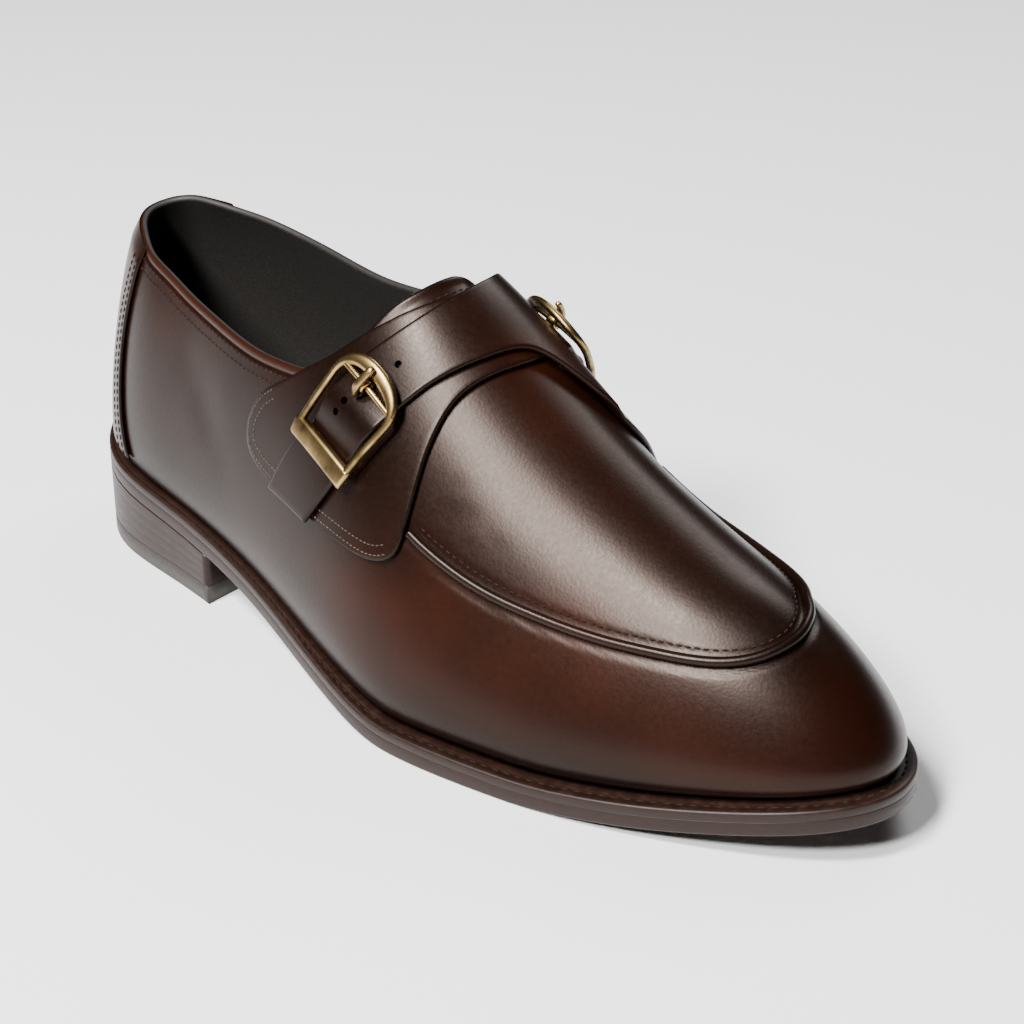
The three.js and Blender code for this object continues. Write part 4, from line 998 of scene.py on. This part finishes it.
# Buckles: cast frame with an inner bar, a flat bar across the strap's end, and a prong.
buckleSizes = {
    "length": 30, "width": 24.8, "wire": 2.4, "barWidth": 6, "barThickness": 2.4, "prong": 2,
    "crownWidth": 4.2, "archRise": 1.2, "prongShift": -1,
}
buckles = {
    "outer": {"side": -1, "at": 0.4945, "girth": 0.408, "turn": 0.45},
    "inner": {"side": 1, "at": 0.5375, "girth": 0.28, "turn": 0.3},
}
barEnd = -0.42 * buckleSizes["length"]
archEnd = 0.5 * buckleSizes["length"] - buckleSizes["crownWidth"] / 2
innerBar = 0.287 * buckleSizes["length"]
overStrap = 2 * (last["gap"] + strapLevel["thickness"]) + last["gap"]


def onBuckle(buckle, a, b, out):  # a mm to the toe and b mm up the strap from the buckle's centre
    def turned(share):
        angle = angleAt(share)
        return angle if buckle["side"] < 0 else fullTurn - angle

    at, girth, step = buckle["at"], buckle["girth"], 0.01
    along = (onLast(turned(at + step), girth) - onLast(turned(at - step), girth)) / mm / (2 * step)
    up = (onLast(turned(at), girth - step) - onLast(turned(at), girth + step)) / mm / (2 * step)
    upLength = np.linalg.norm(up)
    climb = along @ up / upLength
    a, b = np.broadcast_arrays(np.asarray(a, float), np.asarray(b, float))
    forward = a * math.cos(buckle["turn"]) + b * math.sin(buckle["turn"])
    rise = -a * math.sin(buckle["turn"]) + b * math.cos(buckle["turn"])
    moved = forward / math.sqrt(along @ along - climb * climb)
    angle = turned(at + moved)
    place = girth - (rise - moved * climb) / upLength
    return onLast(angle, place, out), onLast(angle, place, np.asarray(out) + 1) - onLast(angle, place, out)


def sweepBar(points, ups, widths, heights, corners=None, closed=False, power=1.0, section=None):
    n = len(points)
    ahead = np.roll(points, -1, 0) if closed else np.concatenate([points[1:], points[-1:]])
    behind = np.roll(points, 1, 0) if closed else np.concatenate([points[:1], points[:-1]])
    along = ahead - behind
    along /= np.linalg.norm(along, axis=1, keepdims=True)
    side = np.cross(ups, along)
    side /= np.linalg.norm(side, axis=1, keepdims=True)
    up = np.cross(along, side)
    if section is None:
        t = np.linspace(0, fullTurn, corners + 1)[:-1]
        c = np.sign(np.cos(t)) * np.abs(np.cos(t)) ** power
        s = np.sign(np.sin(t)) * np.abs(np.sin(t)) ** power
    else:
        c, s = np.array(section).T
        corners = len(section)
    rings = (
        points[:, None]
        + side[:, None] * (c[None, :, None] * np.asarray(widths)[:, None, None] / 2)
        + up[:, None] * (s[None, :, None] * np.asarray(heights)[:, None, None] / 2)
    )
    count = n + 1 if closed else n
    faces = gridFaces(n, corners, closed=True)
    if closed:
        faces += [[(n - 1) * corners + j, j, (j + 1) % corners, (n - 1) * corners + (j + 1) % corners] for j in range(corners)]
    else:
        faces.append(list(range(corners)))
        faces.append(list(range((n - 1) * corners, n * corners)))
    return rings.reshape(-1, 3), faces


def archLine(half, steps):
    shoulder = 0.15 * buckleSizes["length"]
    handle = shoulder + 0.7 * (archEnd - shoulder)
    t = np.linspace(0, 1, 40)[:, None]
    corners = [np.array(p) for p in ((-half, shoulder), (-half, handle), (-0.6 * half, archEnd), (0, archEnd))]
    weights = ((1 - t) ** 3, 3 * t * (1 - t) ** 2, 3 * t * t * (1 - t), t**3)
    turn = sum(w * corner for w, corner in zip(weights, corners))
    side = np.stack([np.full(12, -half), np.linspace(barEnd, shoulder, 12)], -1)[:-1]
    left = np.concatenate([side, turn])
    line = np.concatenate([left, (left * [-1, 1])[::-1][1:]])
    run = np.concatenate([[0], np.cumsum(np.linalg.norm(np.diff(line, axis=0), axis=1))])
    wanted = np.linspace(0, run[-1], steps)
    line = np.stack([np.interp(wanted, run, line[:, 0]), np.interp(wanted, run, line[:, 1])], -1)
    return line, np.clip((line[:, 1] - shoulder) / (archEnd - shoulder), 0, 1) ** 2


def archLevel(b):
    return overStrap + buckleSizes["archRise"] * (np.maximum(0, b) / archEnd) ** 2


def joinParts(parts):
    points, faces = [], []
    count = 0
    for p, f in parts:
        faces += [[k + count for k in face] for face in f]
        points.append(p)
        count += len(p)
    return np.concatenate(points), faces


def makeBuckle(name, buckle):
    sizes = buckleSizes
    wire = sizes["wire"]
    half = (sizes["width"] - wire) / 2
    line, crown = archLine(half, 110)
    widths = (wire * 0.86 + (sizes["crownWidth"] - wire * 0.86) * crown) * mm
    points, ups = onBuckle(buckle, line[:, 0], line[:, 1], archLevel(line[:, 1]) + wire / 2)
    parts = [sweepBar(points, ups, widths, wire * mm * (0.92 + 0.08 * crown), 20, power=0.85)]
    across = np.linspace(-half, half, 21)
    points, ups = onBuckle(buckle, across, innerBar, archLevel(innerBar) + wire / 2)
    parts.append(sweepBar(points, ups, np.full(21, wire * 0.8 * mm), np.full(21, wire * 0.8 * mm), 14))
    across = np.linspace(-sizes["width"] / 2 - 0.1, sizes["width"] / 2 + 0.1, 40)
    points, ups = onBuckle(buckle, across, barEnd, overStrap + sizes["barThickness"] / 2)
    ends = np.clip((sizes["width"] / 2 + 0.12 - np.abs(across)) / 0.5, 0.02, 1) ** 0.35
    plate = [(-1, -0.5), (-1, 0.3), (-0.95, 0.55), (-0.72, 0.96), (-0.6, 1), (0.6, 1), (0.72, 0.96), (0.95, 0.55),
             (1, 0.3), (1, -0.5), (0.94, -1), (-0.94, -1)]
    parts.append(sweepBar(points, ups, sizes["barWidth"] * mm * (0.9 + 0.1 * ends),
                          sizes["barThickness"] * mm * (0.75 + 0.25 * ends), section=plate))
    points, faces = joinParts(parts)
    piece = buildMesh(name, points, faces, agedBrass, merge=0.000004)
    return finishPiece(piece, "brass", name.replace("dressed_", ""))


# The prong rests in the crown, passes over the inner bar and dips into the strap's hole.
prong = {
    "place": [0.45, 0.425, 0.37, 0.27, 0.215, 0.175, 0.165],
    "level": [0.86, 1, 1.08, 1.08, 0.75, 0.3, 0.02],
    "width": [0.7, 1, 1.1, 1.15, 1.05, 0.8, 0.55],
}


def makeProng(name, buckle):
    size = buckleSizes["prong"]
    rows = np.arange(len(prong["place"]))
    t = np.linspace(0, rows[-1], 44)
    place, level, width = (spline(rows, prong[k])(t) for k in ("place", "level", "width"))
    b = place * buckleSizes["length"]
    lift = archLevel(np.minimum(b, archEnd)) + size / 2 + last["gap"] + level * buckleSizes["wire"]
    points, ups = onBuckle(buckle, np.full(44, buckleSizes["prongShift"]), b, lift)
    parts = [sweepBar(points, ups, size * mm * width, size * 0.85 * mm * width, 14, power=0.75)]
    turn = np.linspace(0, fullTurn, 25)[:-1]  # the loop that holds the prong on its inner bar
    radius = buckleSizes["wire"] * 0.4 + 0.6
    centreLift = archLevel(innerBar) + buckleSizes["wire"] / 2
    shift = buckleSizes["prongShift"]
    points, ups = onBuckle(buckle, np.full(24, shift), innerBar + radius * np.cos(turn), centreLift + radius * np.sin(turn))
    centre, _ = onBuckle(buckle, shift, innerBar, centreLift)
    parts.append(sweepBar(points, points - centre[None], np.full(24, 3.2 * mm), np.full(24, 1.1 * mm), 10,
                          closed=True, power=0.6))
    points, faces = joinParts(parts)
    piece = buildMesh(name, points, faces, agedBrass, merge=0.000004)
    return finishPiece(piece, "brass", name.replace("dressed_", ""))


# The slit for the outer wing's strap, and the punched holes, each a mm to the toe and b mm up a strap.
slit = {"low": 0.105, "high": 0.185, "rear": 0.511, "front": 0.594}
holes = {"radius": 1.05, "across": [-3, -3, -2, 0], "up": [-2.2, 1.5, 5.2, 17.9]}


def makeCutters():
    u, v = np.meshgrid(np.linspace(0, 1, 9), np.linspace(0, 1, 5), indexing="ij")
    share = slit["rear"] + (slit["front"] - slit["rear"]) * v
    across = slit["low"] + (slit["high"] - slit["low"]) * u
    low, high = onUpper(share, across, -0.5), onUpper(share, across, 6)
    n = u.size
    faces = gridFaces(9, 5) + gridFaces(9, 5, start=n, flip=True)
    rim = [i * 5 for i in range(9)] + [40 + j for j in range(1, 5)] + [i * 5 + 4 for i in range(7, -1, -1)]
    rim += [j for j in range(3, 0, -1)]
    faces += [[rim[i], rim[(i + 1) % len(rim)], n + rim[(i + 1) % len(rim)], n + rim[i]] for i in range(len(rim))]
    slitCutter = (np.concatenate([low.reshape(-1, 3), high.reshape(-1, 3)]), faces)
    cutters = {"inner": [slitCutter], "outer": []}
    for strap, side in (("inner", "outer"), ("outer", "inner")):
        for a, b in zip(holes["across"], holes["up"]):
            foot, up = onBuckle(buckles[side], a, b, 2.0 if b > 10 else 1.6)
            tip, _ = onBuckle(buckles[side], a, b, 7.5)
            ups = np.broadcast_to(np.array([1.0, 0.0, 0.0]) * 1.0, (2, 3)) + 0.01
            cutters[strap].append(sweepBar(np.array([foot, tip]), ups, np.full(2, 2 * holes["radius"] * mm),
                                           np.full(2, 2 * holes["radius"] * mm), 18))
    return cutters


def cutOut(piece, parts):
    for points, faces in parts:
        cutter = buildMesh("cutter", points, faces, calf, merge=0.000001)
        tool = piece.modifiers.new("cut", "BOOLEAN")
        tool.operation, tool.object, tool.solver = "DIFFERENCE", cutter, "EXACT"
        made = bpy.data.meshes.new_from_object(piece.evaluated_get(bpy.context.evaluated_depsgraph_get()))
        piece.modifiers.remove(tool)
        piece.data = made
        bpy.data.objects.remove(cutter)
    piece.data.set_sharp_from_angle(angle=math.radians(50))


for piece, parts in zip((dressedInnerWing, dressedOuterWing), makeCutters().values()):
    cutOut(piece, parts)
print("slit and holes cut")

for side, buckle in buckles.items():
    makeBuckle(f"dressed_{side}_buckle", buckle)
    makeProng(f"dressed_{side}_prong", buckle)
print("buckles made")


# Geometry Nodes: a cord swept along a line, and stitches laid along lines.
def newTree(name, inputs):
    tree = bpy.data.node_groups.new(name, "GeometryNodeTree")
    tree.interface.new_socket("Geometry", in_out="INPUT", socket_type="NodeSocketGeometry")
    for label, kind, value in inputs:
        socket = tree.interface.new_socket(label, in_out="INPUT", socket_type=kind)
        if value is not None:
            socket.default_value = value
    tree.interface.new_socket("Geometry", in_out="OUTPUT", socket_type="NodeSocketGeometry")
    return tree, addNode(tree, "NodeGroupInput"), addNode(tree, "NodeGroupOutput")


def makeCordTree():
    tree, given, result = newTree("cord_sweep", [
        ("Radius", "NodeSocketFloat", 1.3 * mm), ("Corners", "NodeSocketInt", 14),
        ("Material", "NodeSocketMaterial", None),
    ])
    line = addNode(tree, "GeometryNodeMeshToCurve", links={"Mesh": given.outputs["Geometry"]})
    ring = addNode(tree, "GeometryNodeCurvePrimitiveCircle",
                   links={"Radius": given.outputs["Radius"], "Resolution": given.outputs["Corners"]})
    swept = addNode(tree, "GeometryNodeCurveToMesh", {"Fill Caps": True},
                    {"Curve": line.outputs["Curve"], "Profile Curve": ring.outputs["Curve"]})
    smooth = addNode(tree, "GeometryNodeSetShadeSmooth", links={"Geometry": swept.outputs["Mesh"]})
    real = addNode(tree, "GeometryNodeRealizeInstances", links={"Geometry": smooth.outputs["Geometry"]})
    dressed = addNode(tree, "GeometryNodeSetMaterial",
                      links={"Geometry": real.outputs["Geometry"], "Material": given.outputs["Material"]})
    tree.links.new(dressed.outputs["Geometry"], result.inputs["Geometry"])
    return tree


def makeStitchTree():
    tree, given, result = newTree("stitch_row", [
        ("Pitch", "NodeSocketFloat", 2.2 * mm), ("Length", "NodeSocketFloat", 1.7 * mm),
        ("Width", "NodeSocketFloat", 0.6 * mm), ("Height", "NodeSocketFloat", 0.5 * mm),
        ("Material", "NodeSocketMaterial", None),
    ])
    line = addNode(tree, "GeometryNodeMeshToCurve", links={"Mesh": given.outputs["Geometry"]})
    spaced = addNode(tree, "GeometryNodeResampleCurve", {"mode": "LENGTH"},
                     {"Curve": line.outputs["Curve"], "Length": given.outputs["Pitch"]})
    bead = addNode(tree, "GeometryNodeMeshUVSphere", {"Segments": 8, "Rings": 5, "Radius": 0.5})
    size = addNode(tree, "ShaderNodeCombineXYZ", links={
        "X": given.outputs["Length"], "Y": given.outputs["Width"], "Z": given.outputs["Height"]})
    tangent = addNode(tree, "GeometryNodeInputTangent")
    up = addNode(tree, "GeometryNodeInputNamedAttribute", {"data_type": "FLOAT_VECTOR", "Name": "up"})
    turned = addNode(tree, "FunctionNodeAlignRotationToVector", {"axis": "X"}, {"Vector": tangent.outputs[0]})
    turned = addNode(tree, "FunctionNodeAlignRotationToVector", {"axis": "Z", "pivot_axis": "X"},
                     {"Rotation": turned.outputs[0], "Vector": up.outputs["Attribute"]})
    placed = addNode(tree, "GeometryNodeInstanceOnPoints", links={
        "Points": spaced.outputs["Curve"], "Instance": bead.outputs["Mesh"],
        "Rotation": turned.outputs[0], "Scale": size.outputs[0]})
    real = addNode(tree, "GeometryNodeRealizeInstances", links={"Geometry": placed.outputs["Instances"]})
    smooth = addNode(tree, "GeometryNodeSetShadeSmooth", links={"Geometry": real.outputs["Geometry"]})
    dressed = addNode(tree, "GeometryNodeSetMaterial",
                      links={"Geometry": smooth.outputs["Geometry"], "Material": given.outputs["Material"]})
    tree.links.new(dressed.outputs["Geometry"], result.inputs["Geometry"])
    return tree


cordTree, stitchTree = makeCordTree(), makeStitchTree()


def runTree(name, lines, tree, inputs, slotName, *nodes, ups=None):
    mesh = bpy.data.meshes.new(name + "_path")
    points, edges = [], []
    for line in lines:
        edges += [[len(points) + i, len(points) + i + 1] for i in range(len(line) - 1)]
        points += [list(p) for p in line]
    mesh.from_pydata(points, edges, [])
    if ups is not None:
        mesh.attributes.new("up", "FLOAT_VECTOR", "POINT").data.foreach_set("vector", np.concatenate(ups).ravel())
    path = bpy.data.objects.new(name + "_path", mesh)
    bpy.context.scene.collection.objects.link(path)
    modifier = path.modifiers.new("shape", "NODES")
    modifier.node_group = tree
    for item in tree.interface.items_tree:
        if item.in_out == "INPUT" and item.name in inputs:
            modifier[item.identifier] = inputs[item.name]
    bpy.context.view_layer.update()
    made = bpy.data.meshes.new_from_object(path.evaluated_get(bpy.context.evaluated_depsgraph_get()))
    bpy.data.objects.remove(path)
    made.name = name
    piece = bpy.data.objects.new(name, made)
    bpy.context.scene.collection.objects.link(piece)
    return finishPiece(piece, slotName, *nodes)


piping = {"radius": 1.35, "sunk": 0.25}
pipingSteps = np.linspace(-0.15, len(apronRows) - 1 + 0.1, 360)
pipingLine = onLast(apronAngle(pipingSteps), apronGirth(pipingSteps), piping["radius"] - 2 * piping["sunk"])
dressedPiping = runTree("dressed_apron_piping", [pipingLine], cordTree,
                        {"Radius": piping["radius"] * mm, "Corners": 16, "Material": calf}, "calf", "apron_piping")
print("piping made")


def seatOn(piece, points, lift):  # the nearest place on a piece, and its normal there
    tree = BVHTree.FromObject(piece, bpy.context.evaluated_depsgraph_get())
    seated, ups = [], []
    for p in points:
        where, normal, _, _ = tree.find_nearest(Vector(p))
        seated.append(np.array(where) + np.array(normal) * lift * mm)
        ups.append(np.array(normal))
    return np.array(seated), np.array(ups)


stitches = {
    "pitch": 2.3, "length": 1.75, "width": 0.62, "height": 0.5, "sunk": 0.02,
    "collarRows": [4.1, 6.9], "counterRows": [1.6, 4.2], "apronInset": 3.0, "tongueRow": 5,
}


def collarLine(down):
    angles = np.linspace(-1.62, 1.62, 500)
    girth = toplineGirth(angles) + down / arcAt(angles)
    return onLast(angles, girth, 0)


def sheetLine(table, inset, start, end):  # follows a wing's outline, inset mm from it, between two row numbers
    rows = np.arange(len(table["across"]))
    across, rear, front = (spline(rows, table[k]) for k in ("across", "rear", "front"))
    a = np.linspace(start, 0, 160)
    b = np.linspace(0, end, 160)
    k = np.linspace(0, 1, 14)[1:-1]
    share = np.concatenate([rear(a), rear(0) + (front(0) - rear(0)) * k, front(b)])
    cross = np.concatenate([across(a), np.full(12, across(0)), across(b)])
    points = onUpper(share, cross, strapLevel["thickness"]) / mm
    run = np.concatenate([[0], np.cumsum(np.linalg.norm(np.diff(points, axis=0), axis=1))])
    wanted = np.linspace(0, run[-1], 260)
    points = np.stack([np.interp(wanted, run, points[:, i]) for i in range(3)], -1)
    smoothed = points.copy()
    for _ in range(12):
        smoothed[1:-1] = (smoothed[:-2] + 2 * smoothed[1:-1] + smoothed[2:]) / 4
    along = np.gradient(smoothed, axis=0)
    centre = points.mean(0)
    normal = np.cross(along, centre[None] - points)
    facing = onUpper(0.46, math.copysign(0.5, table["across"][0]), 5) - onUpper(0.46, math.copysign(0.5, table["across"][0]), 0)
    normal = np.array(facing)[None] / np.linalg.norm(facing)
    inward = np.cross(np.broadcast_to(normal, along.shape), along)
    inward /= np.linalg.norm(inward, axis=1, keepdims=True)
    if ((centre[None] - points) * inward).sum() < 0:
        inward = -inward
    return (smoothed + inward * inset) * mm


def makeStitches():
    rows = []
    for down in stitches["collarRows"]:
        rows.append((dressedUpper, collarLine(down)))
    girths = np.linspace(0.34, 0.955, 120)
    for inset in stitches["counterRows"]:
        for side in (-1, 1):
            angle = angleAt(counterEdgeAt(girths)) - inset / 46
            rows.append((dressedCounter, onLast(angle if side < 0 else fullTurn - angle, girths, 2)))
    line = apronLine[6:-6] / mm
    along = np.gradient(line, axis=0)
    inward = np.cross(np.gradient(onLast(apronAngle(apronSteps), apronGirth(apronSteps), 1) / mm - apronLine / mm, axis=0)[6:-6] * 0
                      + (onLast(apronAngle(apronSteps), apronGirth(apronSteps), 1) / mm - apronLine / mm)[6:-6], along)
    inward /= np.linalg.norm(inward, axis=1, keepdims=True)
    inside = onLast(apronAngle(apronSteps), apronGirth(apronSteps) - 0.03)[6:-6] / mm
    if ((inside - line) * inward).sum() < 0:
        inward = -inward
    rows.append((dressedUpper, (line + inward * stitches["apronInset"]) * mm))
    across = np.linspace(-0.3, 0.3, 160)
    rows.append((dressedTongue, onUpper(tongueEdgeAt(across) + stitches["tongueRow"] / last["soleLength"], across, -2)))
    return sewRows("upper_stitches", rows, stitches, upperThread)


lobeSeam = {"rows": [1.5, 4.1], "pitch": 1.45, "length": 1.12, "width": 0.42, "height": 0.34, "sunk": 0}


def sewRows(name, rows, sizes, thread):
    lines, ups = [], []
    for piece, points in rows:
        seated, normals = seatOn(piece, points, sizes["sunk"])
        lines.append(seated)
        ups.append(normals)
    inputs = {"Pitch": sizes["pitch"] * mm, "Length": sizes["length"] * mm,
              "Width": sizes["width"] * mm, "Height": sizes["height"] * mm, "Material": thread}
    return runTree(name, lines, stitchTree, inputs, "calf", ups=ups)


upperStitches = makeStitches()
lobeRows = [(dressedOuterWing, sheetLine(outerWing, inset, 6.5, 3.7)) for inset in lobeSeam["rows"]]
lobeRows += [(dressedInnerWing, sheetLine(innerWing, inset, 6.5, 4.2)) for inset in lobeSeam["rows"]]
lobeStitches = sewRows("lobe_stitches", lobeRows, lobeSeam, lobeThread)

weltSeam = {"pitch": 3.4, "length": 2.5, "width": 0.9, "height": 0.6}


def makeWeltSeam():
    angles = np.concatenate([np.linspace(1.02, fullTurn - 1.02, 700)])
    share = shareAt(angles)
    plan = edgePoint(angles, ledgeShare(share) * last["ballWidth"] * 0.5)
    height = weltTop(share) - welt["seamDepth"] + 0.1
    points = (np.concatenate([plan, height[:, None]], -1) + offset) * mm
    ups = np.tile([0.0, 0.0, 1.0], (len(points), 1))
    inputs = {"Pitch": weltSeam["pitch"] * mm, "Length": weltSeam["length"] * mm,
              "Width": weltSeam["width"] * mm, "Height": weltSeam["height"] * mm, "Material": weltThread}
    return runTree("welt_stitches", [points], stitchTree, inputs, "sole_edge", ups=[ups])


weltStitches = makeWeltSeam()
print("stitches made")


# Stage: pale floor, soft studio light, the camera at the photograph's angle.
camera = {"place": (402.3, -377.0, 312.3), "aim": (15.8, 6.4, 45), "lens": 76.7}
lamps = {
    "name": ["key_box", "front_box", "rear_box"],
    "place": [(-80, -1000, 1650), (250, -1400, 1330), (-300, 1300, 1500)],
    "size": [(340, 340), (300, 300), (900, 900)],
    "watts": [80, 64, 18],
}
worldStrength = 0.04
floorReach = {"low": (-6, -4), "high": (5, 7)}  # metres


def makeStage():
    floorMaterial, tree, shader, place = newMaterial("pale_floor")
    shader.inputs["Base Color"].default_value = toLinear("#f4f4f4")
    shader.inputs["Roughness"].default_value = 0.7
    mesh = bpy.data.meshes.new("floor")
    (left, near), (right, far) = floorReach.values()
    mesh.from_pydata([(left, near, 0), (right, near, 0), (right, far, 0), (left, far, 0)], [], [(0, 1, 2, 3)])
    mesh.materials.append(floorMaterial)
    floor = bpy.data.objects.new("floor", mesh)
    bpy.context.scene.collection.objects.link(floor)
    world = bpy.data.worlds.new("studio") if bpy.context.scene.world is None else bpy.context.scene.world
    bpy.context.scene.world = world
    world.use_nodes = True
    world.node_tree.nodes.clear()
    sky = addNode(world.node_tree, "ShaderNodeBackground", {"Color": toLinear("#f4f6f8"), "Strength": worldStrength})
    addNode(world.node_tree, "ShaderNodeOutputWorld", links={"Surface": sky.outputs["Background"]})
    for name, place, size, watts in zip(*lamps.values()):
        light = bpy.data.lights.new(name, "AREA")
        light.shape = "RECTANGLE"
        light.size, light.size_y = size[0] * mm, size[1] * mm
        light.energy = watts
        lamp = bpy.data.objects.new(name, light)
        lamp.location = Vector(place) * mm
        lamp.rotation_euler = (Vector((0, 0, 40)) - Vector(place)).to_track_quat("-Z", "Y").to_euler()
        bpy.context.scene.collection.objects.link(lamp)
    lens = bpy.data.cameras.new("photo_camera")
    lens.lens, lens.sensor_width = camera["lens"], 36
    lens.clip_start, lens.clip_end = 0.01, 50
    eye = bpy.data.objects.new("photo_camera", lens)
    eye.location = Vector(camera["place"]) * mm
    eye.rotation_euler = (Vector(camera["aim"]) - Vector(camera["place"])).to_track_quat("-Z", "Y").to_euler()
    bpy.context.scene.collection.objects.link(eye)
    bpy.context.scene.camera = eye


makeStage()
print("stage made")
